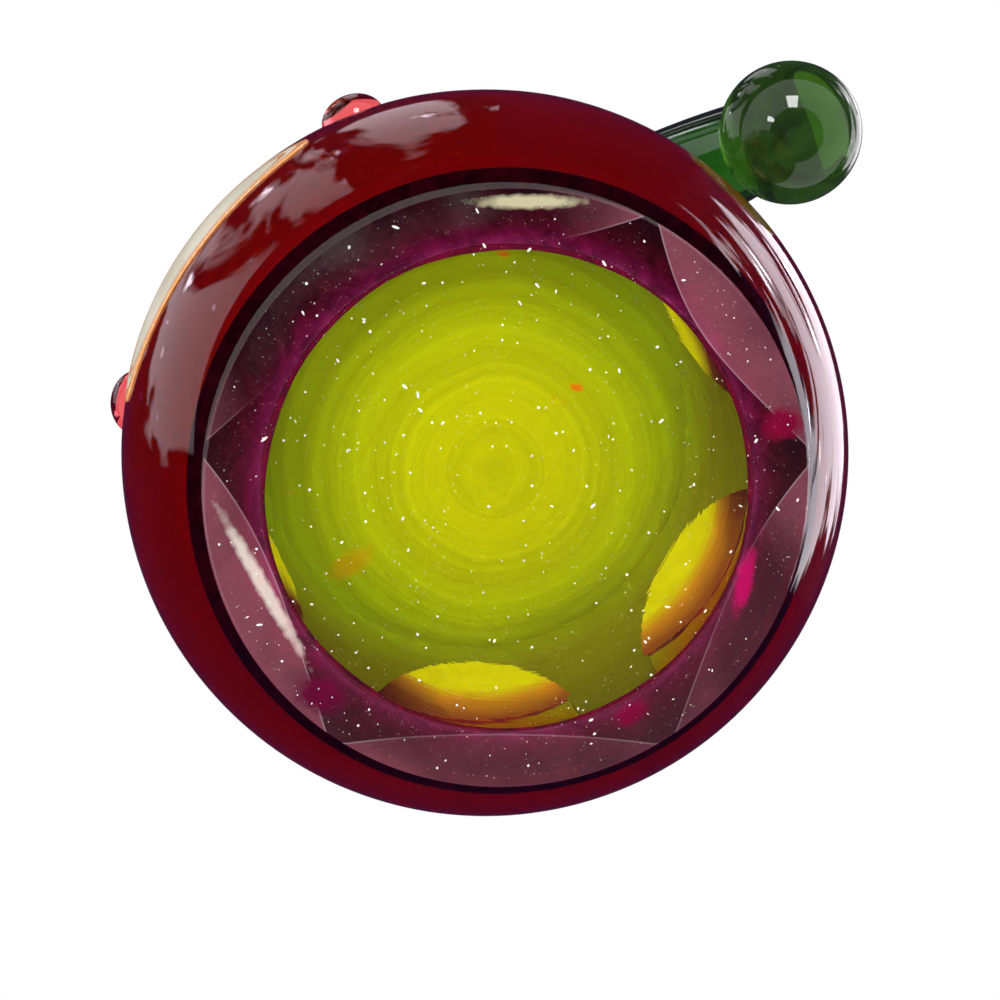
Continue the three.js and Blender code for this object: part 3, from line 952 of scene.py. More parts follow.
def casing_form(form, ball, hat_seat):
    """Outer shell, the core's room inside it, and ground rings between them on the base and the flats."""
    shell = cut_ball(form.radius, form.centre.z, form.planes, 1.0)
    room = cut_ball(form.core_radius + FUSED_GAP, form.core_z, form.planes, 0.0)
    for part in (shell, room):
        ground = [face for face in part.faces if any(in_plane(face, plane) for plane in form.planes)]
        bmesh.ops.delete(part, geom=ground, context="FACES_ONLY")
    bmesh.ops.reverse_faces(room, faces=room.faces[:])
    absorb(shell, room)
    skin_layer = shell.faces.layers.float["skin"]
    flat_layer = shell.faces.layers.float["flat"]
    outer_edges = []
    for index, plane in enumerate(form.planes):
        edges = plane_edges(shell, plane)
        outer_edges += [edge for edge in edges if all(form.on_skin(vert.co) for vert in edge.verts)]
        for face in bmesh.ops.bridge_loops(shell, edges=edges)["faces"]:
            face[skin_layer] = 1.0
            face[flat_layer] = 1.0 if index else 0.0
            face.normal_update()
            if face.normal.dot(plane[1]) < 0:
                face.normal_flip()
    shell.normal_update()
    bmesh.ops.bevel(
        shell,
        geom=outer_edges,
        offset=ball.edge_width,
        segments=3,
        profile=0.5,
        affect="EDGES",
        clamp_overlap=True,
    )
    shell.normal_update()
    for face in shell.faces:
        middle = face.calc_center_median()
        high = middle.z > form.centre.z and form.on_skin(middle)
        if high and all(Vector(vert.co[:2]).length < hat_seat for vert in face.verts):
            face[skin_layer] = 0.0
    return shell


def exposed_span(side, core_reach, flat_run, lean, edge):
    """Lowest and highest place on a flat, at a distance to its side, where yellow glass shows."""
    low = (flat_run - sqrt(edge**2 - side**2)) / lean
    high = sqrt(max(core_reach**2 - side**2, 0.0))
    return low, high


def exposed_form(form, ball):
    """Thin yellow plates behind the flats, from each flat's top down to a circle round the axis."""
    plates = bmesh.new()
    columns, rows = 48, 10
    inset = 2 * HEART_INSET
    reach = form.core_radius - HEART_INSET
    core = Vector((0, 0, form.core_z))
    for at, out in form.flat_planes:
        level = AXIS.cross(out).normalized()
        slope = out.cross(level)
        near = at - out * inset
        middle = near + slope * (core - near).dot(slope)
        middle += level * (core - near).dot(level)
        core_reach = sqrt(reach**2 - (middle - core).length ** 2)
        flat_run = Vector((middle.x, middle.y)).length
        sizes = (core_reach, flat_run, sqrt(1 - slope.z**2), ball.exposed_radius)
        widest = 0.0
        low, high = exposed_span(widest, *sizes)
        while low < high - PLATE_MARGIN:
            widest += PLATE_STEP
            low, high = exposed_span(widest, *sizes)
        grids = []
        for depth in (0.0, HEART_INSET):
            grid = []
            for column in range(columns + 1):
                side = widest * sin(pi * (column / columns - 0.5))
                low, high = exposed_span(side, *sizes)
                start = middle + level * side
                heights = [low + (high - low) * row / rows for row in range(rows + 1)]
                grid.append([plates.verts.new(start + slope * height - out * depth) for height in heights])
            grids.append(grid)
        for column in range(columns):
            for row in range(rows):
                for grid in grids:
                    left, right = grid[column], grid[column + 1]
                    plates.faces.new((left[row], right[row], right[row + 1], left[row + 1]))
        border = [(column, 0) for column in range(columns)]
        border += [(columns, row) for row in range(rows)]
        border += [(column, rows) for column in range(columns, 0, -1)]
        border += [(0, row) for row in range(rows, 0, -1)]
        front, back = grids
        for (first, low), (second, high) in zip(border, [*border[1:], border[0]]):
            plates.faces.new((front[first][low], front[second][high], back[second][high], back[first][low]))
    bmesh.ops.recalc_face_normals(plates, faces=plates.faces[:])
    return plates


def wash_form(form, ball):
    """Wedges of casing glass left over the lower part of the flats, thicker downwards."""
    wash = bmesh.new()
    for at, out in form.flat_planes:
        level = AXIS.cross(out).normalized()
        slope = out.cross(level)
        start = at + slope * ((ball.wash_top - at.z) / slope.z)
        inner = Matrix.Rotation(ball.wash_angle, 3, level) @ out
        if inner.z > out.z:
            inner = Matrix.Rotation(-ball.wash_angle, 3, level) @ out
        cuts = [(at - out * FUSED_GAP, out), (start, -inner)]
        wedge = cut_ball(form.core_radius - FUSED_GAP, form.core_z, cuts, 0.0)
        skin_layer = wedge.faces.layers.float["skin"]
        for face in wedge.faces:
            face[skin_layer] = 0.0
        absorb(wash, wedge)
    return wash


class PAPERWEIGHT_OT_ball(bpy.types.Operator):
    """Heart, core and casing of the ball, fused without an air gap"""

    bl_idname = "paperweight.ball"
    bl_label = "Ball"

    def execute(self, context):
        ball = context.scene.paperweight_ball
        colours = context.scene.paperweight_colours
        form = BallForm(ball)
        heart_look = heart_glass(colours, ball.heart_edge)
        to_piece(heart_form(form, ball), "heart_body", heart_look, ["heart"])
        # Dark seam line whose lighter cords also paint a crimson highlight
        seam = opaque_glass("Seam glass", colours, "seam", 180.0, 0.4, 0.0)
        to_piece(seam_form(form), "core_seam", seam, [])
        plum = opaque_glass("Plum glass", colours, "plum", 160.0, 0.4, 0.0)
        to_piece(lining_form(form), "casing_lining", plum, [], BAND_SHARP)
        core = cut_ball(form.core_radius, form.core_z, form.planes, 0.0)
        core_look = clear_glass("Core glass", colours.core_stain, CORE_DEPTH, 40.0, ground=True)
        to_piece(core, "core_body", core_look, ["core"], CUT_SHARP)
        hat_seat = context.scene.paperweight_hat.foot_radius - HAT_SEAT_MARGIN
        casing = casing_form(form, ball, hat_seat)
        # The casing's ground ring gets painted light and shade from ring_shine
        casing_look = clear_glass(
            "Casing glass", colours.casing_stain, CASING_DEPTH, 45.0, ground=True, ring=colours
        )
        to_piece(casing, "casing_body", casing_look, ["casing"], CUT_SHARP)
        shown = exposed_glass(colours, ball.exposed_radius)
        to_piece(exposed_form(form, ball), "heart_exposed", shown, [], PLATE_SHARP)
        to_piece(wash_form(form, ball), "casing_wash", casing_look, [], CUT_SHARP)
        return {"FINISHED"}


# Pieces of the face

def dome_form(place, radius, bulge, low, rounds=48, bands=28, lean=0.0):
    """Rounded drop over a plane: what would lie below the plane is pressed flat on it."""
    rings = []
    for band in range(bands + 1):
        tilt = pi * (band / bands - 0.5)
        count = rounds if 0 < band < bands else 1
        ring = []
        for step in range(count):
            point = round_point(radius * cos(tilt), 2 * pi * step / count, bulge * sin(tilt))
            point.y += lean * point.z
            point.z = max(point.z, low)
            ring.append(place @ point)
        rings.append(ring)
    return skin_over(rings)


def rod_form(place, arc, rod, span, middle, up, low):
    """Bent rod with round ends, lying on a plane."""
    steps, rounds, cap = 40, 20, 6
    stations = []
    half = span / 2
    for step in range(-cap, steps + cap + 1):
        share = min(max(step / steps, 0.0), 1.0)
        turn = middle - half + span * share
        over = max(-step, step - steps, 0) / cap
        thick = rod * sqrt(max(1 - over**2, 0.0))
        drift = rod * over / arc
        turn += drift if step > steps else -drift if step < 0 else 0.0
        stations.append((turn, thick))
    rings = []
    for turn, thick in stations:
        count = rounds if thick > 1e-9 else 1
        ring = []
        for step in range(count):
            round_turn = 2 * pi * step / count
            point = round_point(arc + thick * cos(round_turn), turn, rod * 0.65 + thick * sin(round_turn))
            point.y += up
            point.z = max(point.z, low)
            ring.append(place @ point)
        rings.append(ring)
    return skin_over(rings)


class PAPERWEIGHT_OT_face(bpy.types.Operator):
    """Eyes, pupils, brows, cheeks, nose and mouth on the front flat"""

    bl_idname = "paperweight.face"
    bl_label = "Face"

    def execute(self, context):
        face = context.scene.paperweight_face
        colours = context.scene.paperweight_colours
        place = BallForm(context.scene.paperweight_ball).face_place
        white = opaque_glass("White glass", colours, "white", 220.0)
        black = opaque_glass("Black glass", colours, "black", 300.0, 0.05)
        green = opaque_glass("Brow glass", colours, "brow", 320.0)
        red = opaque_glass("Red glass", colours, "red", 240.0)
        pink = opaque_glass("Pink glass", colours, "pink", 260.0)
        for side, sign in (("left", 1), ("right", -1)):
            eye_place = place @ Matrix.Translation((sign * face.eye_apart / 2, face.eye_up, 0))
            eye = dome_form(eye_place, face.eye_radius, face.eye_bulge, SEAT_GAP)
            to_piece(eye, f"eye_{side}_bead", white, [f"eye_{side}"])
            top = face.eye_bulge + face.pupil_bulge - face.pupil_radius
            pupil_place = eye_place @ Matrix.Translation((0, 0, top))
            pupil_low = face.pupil_radius - face.pupil_bulge - PUPIL_SINK
            pupil = dome_form(pupil_place, face.pupil_radius, face.pupil_radius, pupil_low)
            to_piece(pupil, f"pupil_{side}_bead", black, [f"pupil_{side}"])
            middle = pi / 2 - sign * face.brow_lean
            brow = rod_form(eye_place, face.brow_arc, face.brow_rod, face.brow_span, middle, 0.0, SEAT_GAP)
            to_piece(brow, f"brow_{side}_rod", green, [f"brow_{side}"])
            cheek_place = place @ Matrix.Translation((sign * face.cheek_apart / 2, -face.cheek_down, 0))
            cheek = dome_form(cheek_place, face.cheek_radius, face.cheek_bulge, SEAT_GAP)
            to_piece(cheek, f"cheek_{side}_bead", pink, [f"cheek_{side}"])
        nose_place = place @ Matrix.Translation((0, -face.nose_down, face.nose_stand))
        radius = face.nose_radius - SKIN_INSET
        nose = dome_form(nose_place, radius, radius, SEAT_GAP - face.nose_stand, 64, 40)
        to_piece(nose, "nose_ball", red, ["nose"])
        mouth = rod_form(
            place, face.mouth_arc, face.mouth_rod, face.mouth_span, -pi / 2, face.mouth_up, -SEAT_DEPTH
        )
        to_piece(mouth, "mouth_rod", red, ["mouth"])
        return {"FINISHED"}


# Tufts of hair

def tuft_form(form, turn, tilt, radius, bulge):
    """Drop of glass laid on the ball, its foot pressed to the ball's curve."""
    place = facing(form.on_ball(turn, tilt), turn, tilt)
    drop = dome_form(place, radius, bulge, -bulge, lean=0.12)
    for vert in drop.verts:
        vert.co = pushed_out(vert.co, form.centre, form.radius + FUSED_GAP)
    drop.normal_update()
    return drop


class PAPERWEIGHT_OT_hair(bpy.types.Operator):
    """Four tufts of ruby glass"""

    bl_idname = "paperweight.hair"
    bl_label = "Hair"

    def execute(self, context):
        hair = context.scene.paperweight_hair
        ball = context.scene.paperweight_ball
        form = BallForm(ball)
        stain = context.scene.paperweight_colours.ruby_stain
        ruby = clear_glass("Ruby glass", stain, RUBY_DEPTH, 120.0)
        for side, sign in (("left", 1), ("right", -1)):
            back_turn = hair.back_turn - sign * hair.back_spread
            back = tuft_form(form, back_turn, hair.back_tilt, hair.tuft_radius, hair.tuft_bulge)
            to_piece(back, f"tuft_back_{side}_drop", ruby, [f"tuft_back_{side}"])
            side_turn = ball.face_turn + sign * hair.side_spread
            beside = tuft_form(form, side_turn, hair.side_tilt, hair.side_radius, hair.tuft_bulge)
            to_piece(beside, f"tuft_side_{side}_drop", ruby, [f"tuft_side_{side}"])
        return {"FINISHED"}


# Hat

class HatLine:
    """Middle line of the hat with its frames, by share of its length."""

    COUNT = 600

    def __init__(self, form, hat):
        crown = form.crown

        def over(reach, turn, rise):
            return round_point(reach, turn, crown.z + rise)

        self.hat = hat
        self.tip = over(hat.pompom_reach, hat.pompom_turn, -hat.pompom_drop)
        pulls = (
            over(0, 0, -hat.sink),
            over(0, 0, hat.stem_pull),
            over(hat.fall_reach, hat.fall_turn, hat.fall_rise),
            self.tip,
        )
        fine = []
        for step in range(self.COUNT + 1):
            t = step / self.COUNT
            weights = ((1 - t) ** 3, 3 * t * (1 - t) ** 2, 3 * t * t * (1 - t), t**3)
            fine.append(sum((pull * weight for pull, weight in zip(pulls, weights)), Vector()))
        runs = [0.0]
        for low, high in zip(fine, fine[1:]):
            runs.append(runs[-1] + (high - low).length)
        self.points = []
        index = 0
        for step in range(self.COUNT + 1):
            goal = runs[-1] * step / self.COUNT
            while index < self.COUNT - 1 and runs[index + 1] < goal:
                index += 1
            share = (goal - runs[index]) / (runs[index + 1] - runs[index])
            self.points.append(fine[index].lerp(fine[index + 1], share))
        self.sides = []
        side = Vector((1, 0, 0))
        for step in range(self.COUNT + 1):
            run = (self.points[min(step + 1, self.COUNT)] - self.points[max(step - 1, 0)]).normalized()
            side = (side - run * side.dot(run)).normalized()
            self.sides.append((side.copy(), run.cross(side)))

    def surface(self, share, turn):
        place = min(max(share, 0.0), 1.0) * self.COUNT
        low = min(int(place), self.COUNT - 1)
        part = place - low
        centre = self.points[low].lerp(self.points[low + 1], part)
        first = self.sides[low][0].lerp(self.sides[low + 1][0], part)
        second = self.sides[low][1].lerp(self.sides[low + 1][1], part)
        hat = self.hat
        radius = hat.neck_radius + (hat.foot_radius - hat.neck_radius) * (1 - share) ** hat.ease - HAT_INSET
        return centre + (first * cos(turn) + second * sin(turn)) * radius

    def crossing(self, turn, centre, radius, low, high):
        """Share at which a line along the surface leaves a ball; low lies in it and high outside."""
        for _ in range(40):
            middle = (low + high) / 2
            if (self.surface(middle, turn) - centre).length < radius:
                low = middle
            else:
                high = middle
        return (low + high) / 2


def seat_rings(edge, centre, radius, count):
    """Rings from an edge on a ball to a point in its middle, all on that ball."""
    middle = sum((point - centre for point in edge), Vector()).normalized()
    outward = [(point - centre).normalized() for point in edge]
    rings = []
    for step in range(1, count):
        rings.append([centre + out.lerp(middle, step / count).normalized() * radius for out in outward])
    rings.append([centre + middle * radius])
    return rings


def hat_form(form, line, hat):
    """Bent cone from its seat on the crown to its seat on the tip ball."""
    rounds, bands = 72, 90
    seat_radius = form.radius + FUSED_GAP
    tip_radius = hat.pompom_radius + FUSED_GAP
    spans = []
    for step in range(rounds):
        turn = 2 * pi * step / rounds
        foot = line.crossing(turn, form.centre, seat_radius, 0.0, 0.3)
        end = line.crossing(turn, line.tip, tip_radius, 1.0, 0.7)
        spans.append((turn, foot, end))
    rings = []
    for band in range(bands + 1):
        share = band / bands
        rings.append([line.surface(foot + (end - foot) * share, turn) for turn, foot, end in spans])
    foot_seat = seat_rings(rings[0], form.centre, seat_radius, 8)
    tip_seat = seat_rings(rings[-1], line.tip, tip_radius, 6)
    body = skin_over([*reversed(foot_seat), *rings, *tip_seat])
    skin_layer = body.faces.layers.float["skin"]
    for face in body.faces:
        on_seat = all(abs((vert.co - form.centre).length - seat_radius) < 1e-7 for vert in face.verts)
        on_tip = all(abs((vert.co - line.tip).length - tip_radius) < 1e-7 for vert in face.verts)
        if on_seat or on_tip:
            face[skin_layer] = 0.0
    return body


def tip_ball_form(line, hat):
    """Ball at the tip, its pole towards the neck and fused to it there."""
    neck = (line.points[line.COUNT - 80] - line.tip).normalized()
    level = neck.cross(AXIS).normalized()
    other = neck.cross(level)
    seat = asin(hat.neck_radius / hat.pompom_radius) * 0.97
    leans = [seat * step / 10 for step in range(11)]
    leans += [seat + (pi - seat) * step / 44 for step in range(1, 45)]
    rings = []
    for index, lean in enumerate(leans):
        count = 1 if index in (0, len(leans) - 1) else 80
        ring = []
        for step in range(count):
            turn = 2 * pi * step / count
            out = neck * cos(lean) + (level * cos(turn) + other * sin(turn)) * sin(lean)
            ring.append(line.tip + out * hat.pompom_radius)
        rings.append(ring)
    ball = skin_over(rings)
    skin_layer = ball.faces.layers.float["skin"]
    for face in ball.faces:
        away = face.calc_center_median() - line.tip
        if acos(max(-1.0, min(1.0, away.normalized().dot(neck)))) < seat:
            face[skin_layer] = 0.0
    return ball


def rim_form(form, line, hat):
    """Rolled rim round the hat's foot, pressed to the crown and to the hat."""
    height = form.centre.z + sqrt((form.radius + hat.rim_radius / 2) ** 2 - hat.foot_radius**2)
    around, about = 160, 28
    loops = []
    for step in range(around):
        turn = 2 * pi * step / around
        swell = 1 + 0.05 * sin(3 * turn + 0.6) + 0.03 * sin(7 * turn)
        roll = hat.rim_radius * 0.95 * swell
        wall = line.surface(line.crossing(turn, form.centre, form.radius + hat.rim_radius, 0.0, 0.4), turn)
        inner = Vector(wall[:2]).length + FUSED_GAP
        loop = []
        for part in range(about):
            lean = 2 * pi * part / about
            out = max(hat.foot_radius + roll * cos(lean), inner)
            point = round_point(out, turn, height + roll * sin(lean))
            loop.append(pushed_out(point, form.centre, form.radius + FUSED_GAP))
        loops.append(loop)
    return ring_over(loops)


class PAPERWEIGHT_OT_hat(bpy.types.Operator):
    """Bent hat, its rolled rim and the ball at its tip"""

    bl_idname = "paperweight.hat"
    bl_label = "Hat"

    def execute(self, context):
        hat = context.scene.paperweight_hat
        form = BallForm(context.scene.paperweight_ball)
        line = HatLine(form, hat)
        colours = context.scene.paperweight_colours
        # Both glasses carry a painted glow
        green = clear_glass("Green glass", colours.green_stain, GREEN_DEPTH, 55.0, glow=colours.green_glow)
        deep = clear_glass("Deep green glass", colours.tip_stain, TIP_DEPTH, 90.0, glow=colours.tip_glow)
        to_piece(hat_form(form, line, hat), "hat_cone", green, ["hat"], BLOWN_SHARP)
        to_piece(rim_form(form, line, hat), "hat_rim_roll", green, ["hat_rim"], BLOWN_SHARP)
        to_piece(tip_ball_form(line, hat), "hat_tip_ball", deep, ["hat_pompom"], BLOWN_SHARP)
        return {"FINISHED"}


# Label

class PAPERWEIGHT_OT_label(bpy.types.Operator):
    """Blank oval paper label, bent to the ball"""

    bl_idname = "paperweight.label"
    bl_label = "Label"

    def execute(self, context):
        label = context.scene.paperweight_label
        form = BallForm(context.scene.paperweight_ball)
        place = facing(form.centre, label.turn, label.tilt)
        rounds, bands = 120, 14
        shares = [(band / bands, 0.0) for band in range(bands + 1)]
        shares += [(1 - band / bands, label.thick) for band in range(bands + 1)]
        rings = []
        for share, lift in shares:
            count = rounds if share > 0 else 1
            ring = []
            for step in range(count):
                turn = 2 * pi * step / count
                across = share * label.long / 2 * cos(turn)
                up = share * label.tall / 2 * sin(turn)
                out = sqrt((form.radius + FUSED_GAP + lift) ** 2 - across**2 - up**2)
                ring.append(place @ Vector((across, up, out)))
            rings.append(ring)
        sheet = skin_over(rings)
        oval = sheet.loops.layers.uv.new("oval")
        back = place.inverted()
        for face in sheet.faces:
            for loop in face.loops:
                at = back @ loop.vert.co
                loop[oval].uv = (at.x / label.long + 0.5, at.y / label.tall + 0.5)
        look = label_paper(context.scene.paperweight_colours)
        to_piece(sheet, "label_oval", look, ["label"], BAND_SHARP)
        return {"FINISHED"}


# Dust on the base

def dust_tree(material):
    """Flat specks scattered over a surface by a fixed seed."""
    tree = bpy.data.node_groups.new("Scattered dust", "GeometryNodeTree")
    sockets = {}
    for label, kind in (
        ("Geometry", "NodeSocketGeometry"),
        ("Density", "NodeSocketFloat"),
        ("Smallest", "NodeSocketFloat"),
        ("Largest", "NodeSocketFloat"),
        ("Thickness", "NodeSocketFloat"),
        ("Seed", "NodeSocketInt"),
    ):
        sockets[label] = tree.interface.new_socket(label, in_out="INPUT", socket_type=kind).identifier
    tree.interface.new_socket("Geometry", in_out="OUTPUT", socket_type="NodeSocketGeometry")
    given = tree.nodes.new("NodeGroupInput")
    put = tree.nodes.new("NodeGroupOutput")
    scatter = add(tree, "GeometryNodeDistributePointsOnFaces")
    link(tree, given.outputs["Geometry"], scatter.inputs["Mesh"])
    link(tree, given.outputs["Density"], scatter.inputs["Density"])
    link(tree, given.outputs["Seed"], scatter.inputs["Seed"])
    speck = add(tree, "GeometryNodeMeshIcoSphere", Radius=1.0, Subdivisions=1)

    def random_value(low, high, seed):
        node = add(tree, "FunctionNodeRandomValue", data_type="FLOAT")
        node.inputs[2].default_value = low
        node.inputs[3].default_value = high
        node.inputs["Seed"].default_value = seed
        return node.outputs[1]

    share = math(tree, "POWER", random_value(0.0, 1.0, 3), 3.0)
    spread = math(tree, "SUBTRACT", given.outputs["Largest"], given.outputs["Smallest"])
    size = math(tree, "ADD", given.outputs["Smallest"], math(tree, "MULTIPLY", share, spread))
    long = math(tree, "POWER", random_value(0.0, 1.0, 5), 6.0)
    stretch = math(tree, "ADD", math(tree, "MULTIPLY", long, 2.4), 1.0)
    scale = add(tree, "ShaderNodeCombineXYZ")
    link(tree, math(tree, "MULTIPLY", size, stretch), scale.inputs["X"])
    link(tree, size, scale.inputs["Y"])
    link(tree, math(tree, "MULTIPLY", given.outputs["Thickness"], 0.5), scale.inputs["Z"])
    turn = add(tree, "ShaderNodeCombineXYZ")
    link(tree, random_value(0.0, 2 * pi, 9), turn.inputs["Z"])
    instance = add(tree, "GeometryNodeInstanceOnPoints")
    link(tree, scatter.outputs["Points"], instance.inputs["Points"])
    link(tree, speck.outputs["Mesh"], instance.inputs["Instance"])
    link(tree, turn.outputs[0], instance.inputs["Rotation"])
    link(tree, scale.outputs[0], instance.inputs["Scale"])
    realize = add(tree, "GeometryNodeRealizeInstances")
    link(tree, instance.outputs[0], realize.inputs[0])
    finish = add(tree, "GeometryNodeSetMaterial")
    finish.inputs["Material"].default_value = material
    link(tree, realize.outputs[0], finish.inputs["Geometry"])
    link(tree, finish.outputs[0], put.inputs["Geometry"])
    return tree, sockets


def ground_disc(radius, hole, height):
    """Flat disc or ring to scatter on."""
    disc = bmesh.new()
    bmesh.ops.create_circle(disc, cap_ends=not hole, radius=radius, segments=96)
    if hole:
        edges = disc.edges[:]
        inner = bmesh.ops.create_circle(disc, radius=hole, segments=96)["verts"]
        edges += [edge for edge in disc.edges if edge.verts[0] in inner]
        bmesh.ops.bridge_loops(disc, edges=edges)
    bmesh.ops.translate(disc, verts=disc.verts, vec=(0, 0, height))
    ground = bpy.data.meshes.new("dust_ground")
    disc.to_mesh(ground)
    disc.free()
    return ground


def scatter_dust(context, name, tree, sockets, ground, values, material):
    """Specks over a ground mesh, as one plain mesh."""
    holder = bpy.data.objects.new("dust_ground", ground)
    context.scene.collection.objects.link(holder)
    scatter = holder.modifiers.new("Dust", "NODES")
    scatter.node_group = tree
    for label, value in values.items():
        scatter[sockets[label]] = value
    context.view_layer.update()
    evaluated = holder.evaluated_get(context.evaluated_depsgraph_get())
    specks = bpy.data.meshes.new_from_object(evaluated)
    specks.name = name
    holder.modifiers.remove(scatter)
    bpy.data.objects.remove(holder)
    bpy.data.meshes.remove(ground)
    if not specks.polygons:
        raise RuntimeError(f"{name} has no specks")
    seat_piece(specks, name, material, [])


class PAPERWEIGHT_OT_dust(bpy.types.Operator):
    """Pale specks on the ground base, finer haze over it and grit along its edge that also paints a broken
    highlight line there
    """

    bl_idname = "paperweight.dust"
    bl_label = "Dust"

    def execute(self, context):
        dust = context.scene.paperweight_dust
        edge = context.scene.paperweight_ball.base_radius - DUST_MARGIN
        height = BASE_LIFT - dust.thick / 2
        material = dust_material(context.scene.paperweight_colours)
        tree, sockets = dust_tree(material)
        for name, hole, density, small, large, step in (
            ("base_specks", 0.0, 1.0, 1.0, 1.0, 0),
            ("base_haze", 0.0, 4.0, 0.5, 0.2, 1),
            # Dense grit along the edge: dust that also paints a broken highlight line
            ("base_edge_grit_and_highlight", edge - GRIT_WIDTH, 12.0, 0.5, 0.35, 2),
        ):
            values = {
                "Density": dust.density * density,
                "Smallest": dust.smallest * small,
                "Largest": dust.largest * large,
                "Thickness": dust.thick,
                "Seed": dust.seed + step,
            }
            scatter_dust(context, name, tree, sockets, ground_disc(edge, hole, height), values, material)
        return {"FINISHED"}


# Stage

CAMERA_TILT = radians(11.607)
CAMERA_ROLL = radians(120.395)
CAMERA_HEADING = radians(239.0) - CAMERA_ROLL
CAMERA_DISTANCE = 0.3
FOCAL_PIXELS = 2889.705
BALL_PIXEL = (485.146, 453.259)
IMAGE_SIZE = 1000
ROOM_LEVEL = 0.6
FLOOR_LIFT = 0.36
FLOOR_SIZE = 3.0
FLOOR_DROP = 0.00005
WINDOW_LEVEL = 1.2
BRIGHT_LEVEL = 2.8 * WINDOW_LEVEL
WINDOW_DISTANCE = 0.6
WINDOW_PATTERN = 1.3
BRANCH_TONE = (0.015, 0.006, 0.02)
SKY_TONE = (0.84, 0.78, 0.86)
CARD_DISTANCE = 1.6


def camera_axes():
    """Right, up and back of a camera that looks at the base from below."""
    level = Vector((cos(CAMERA_HEADING), sin(CAMERA_HEADING), 0))
    back = level * sin(CAMERA_TILT) - AXIS * cos(CAMERA_TILT)
    along = level * cos(CAMERA_TILT) + AXIS * sin(CAMERA_TILT)
    across = along.cross(back)
    right = along * cos(CAMERA_ROLL) + across * sin(CAMERA_ROLL)
    up = along * sin(CAMERA_ROLL) - across * cos(CAMERA_ROLL)
    return right, up, back


def place_camera(scene, centre):
    right, up, back = camera_axes()
    scale = CAMERA_DISTANCE / FOCAL_PIXELS
    slide = right * (BALL_PIXEL[0] - IMAGE_SIZE / 2) * scale
    slide -= up * (BALL_PIXEL[1] - IMAGE_SIZE / 2) * scale
    lens = bpy.data.cameras.new("Camera")
    lens.sensor_width = 36.0
    lens.lens = FOCAL_PIXELS / IMAGE_SIZE * lens.sensor_width
    lens.clip_start = 0.01
    camera = bpy.data.objects.new("Camera", lens)
    scene.collection.objects.link(camera)
    place = Matrix((right, up, back)).transposed().to_4x4()
    place.translation = centre + back * CAMERA_DISTANCE - slide
    camera.matrix_world = place
    scene.camera = camera


def aim(turn, lean):
    """Direction at a turn in the picture and a lean away from the camera."""
    right, up, back = camera_axes()
    return back * cos(lean) + (right * cos(turn) + up * sin(turn)) * sin(lean)


def window_material(name, level, run, rise):
    """Daylight through a window, with dark branches across it and a few bright gaps."""
    material, tree, output = new_material(name)
    spot = add(
        tree,
        "ShaderNodeCombineXYZ",
        X=math(tree, "MULTIPLY", attribute(tree, "along"), run),
        Y=math(tree, "MULTIPLY", attribute(tree, "across"), rise),
        Z=WINDOW_PATTERN,
    )
    branch = noise(tree, spot.outputs[0], Scale=1.0, Detail=5.0, Distortion=0.8)
    gap = noise(tree, spot.outputs[0], Scale=2.4)
    border = math(tree, "MULTIPLY", attribute(tree, "border"), 0.22)
    leaf = remap(tree, math(tree, "SUBTRACT", branch, border), 0.43, 0.49, 0.0, 1.0)
    light = add(
        tree,
        "ShaderNodeEmission",
        Color=blend(tree, leaf, BRANCH_TONE, SKY_TONE),
        Strength=remap(tree, gap, 0.66, 0.72, level, 6 * level),
    )
    link(tree, light.outputs[0], output.inputs["Surface"])
    return material


def stage_object(scene, form, name, material, at, hidden):
    """Object of the stage at a place, not seen by the named kinds of ray."""
    mesh = bpy.data.meshes.new(name)
    form.to_mesh(mesh)
    form.free()
    mesh.materials.append(material)
    piece = bpy.data.objects.new(name, mesh)
    piece.location = at
    for ray in hidden:
        setattr(piece, f"visible_{ray}", False)
    scene.collection.objects.link(piece)


def stage_panel(scene, centre, name, turns, leans, material, hidden):
    """Part of a dome between two turns and two leans, away from the camera's sight."""
    columns, rows = 24, 12
    panel = bmesh.new()
    along_layer = panel.verts.layers.float.new("along")
    across_layer = panel.verts.layers.float.new("across")
    border_layer = panel.verts.layers.float.new("border")
    grid = []
    for column in range(columns + 1):
        turn = radians(turns[0] + (turns[1] - turns[0]) * column / columns)
        line = []
        for row in range(rows + 1):
            lean = radians(leans[0] + (leans[1] - leans[0]) * row / rows)
            vert = panel.verts.new(aim(turn, lean) * WINDOW_DISTANCE)
            inside = min(column, columns - column) / columns
            vert[along_layer] = column / columns
            vert[across_layer] = row / rows
            vert[border_layer] = max(0.0, 1 - 6 * inside)
            line.append(vert)
        grid.append(line)
    for low, high in zip(grid, grid[1:]):
        for row in range(rows):
            panel.faces.new((low[row], high[row], high[row + 1], low[row + 1]))
    stage_object(scene, panel, name, material, centre, ("camera", "shadow", *hidden))


def light_world(scene):
    """White to the eye, in reflections and through glass; a paler grey room lights matt surfaces."""
    world = bpy.data.worlds.new("Room")
    scene.world = world
    world.use_nodes = True
    tree = world.node_tree
    tree.nodes.clear()
    output = tree.nodes.new("ShaderNodeOutputWorld")
    room = add(tree, "ShaderNodeBackground", Color=(ROOM_LEVEL, ROOM_LEVEL, ROOM_LEVEL, 1.0))
    white = add(tree, "ShaderNodeBackground", Color=(1.0, 1.0, 1.0, 1.0))
    path = tree.nodes.new("ShaderNodeLightPath")
    seen = math(tree, "MAXIMUM", path.outputs["Is Camera Ray"], path.outputs["Is Glossy Ray"])
    shown = math(tree, "MAXIMUM", seen, path.outputs["Is Transmission Ray"])
    link(tree, mix_shaders(tree, shown, room.outputs[0], white.outputs[0]), output.inputs["Surface"])


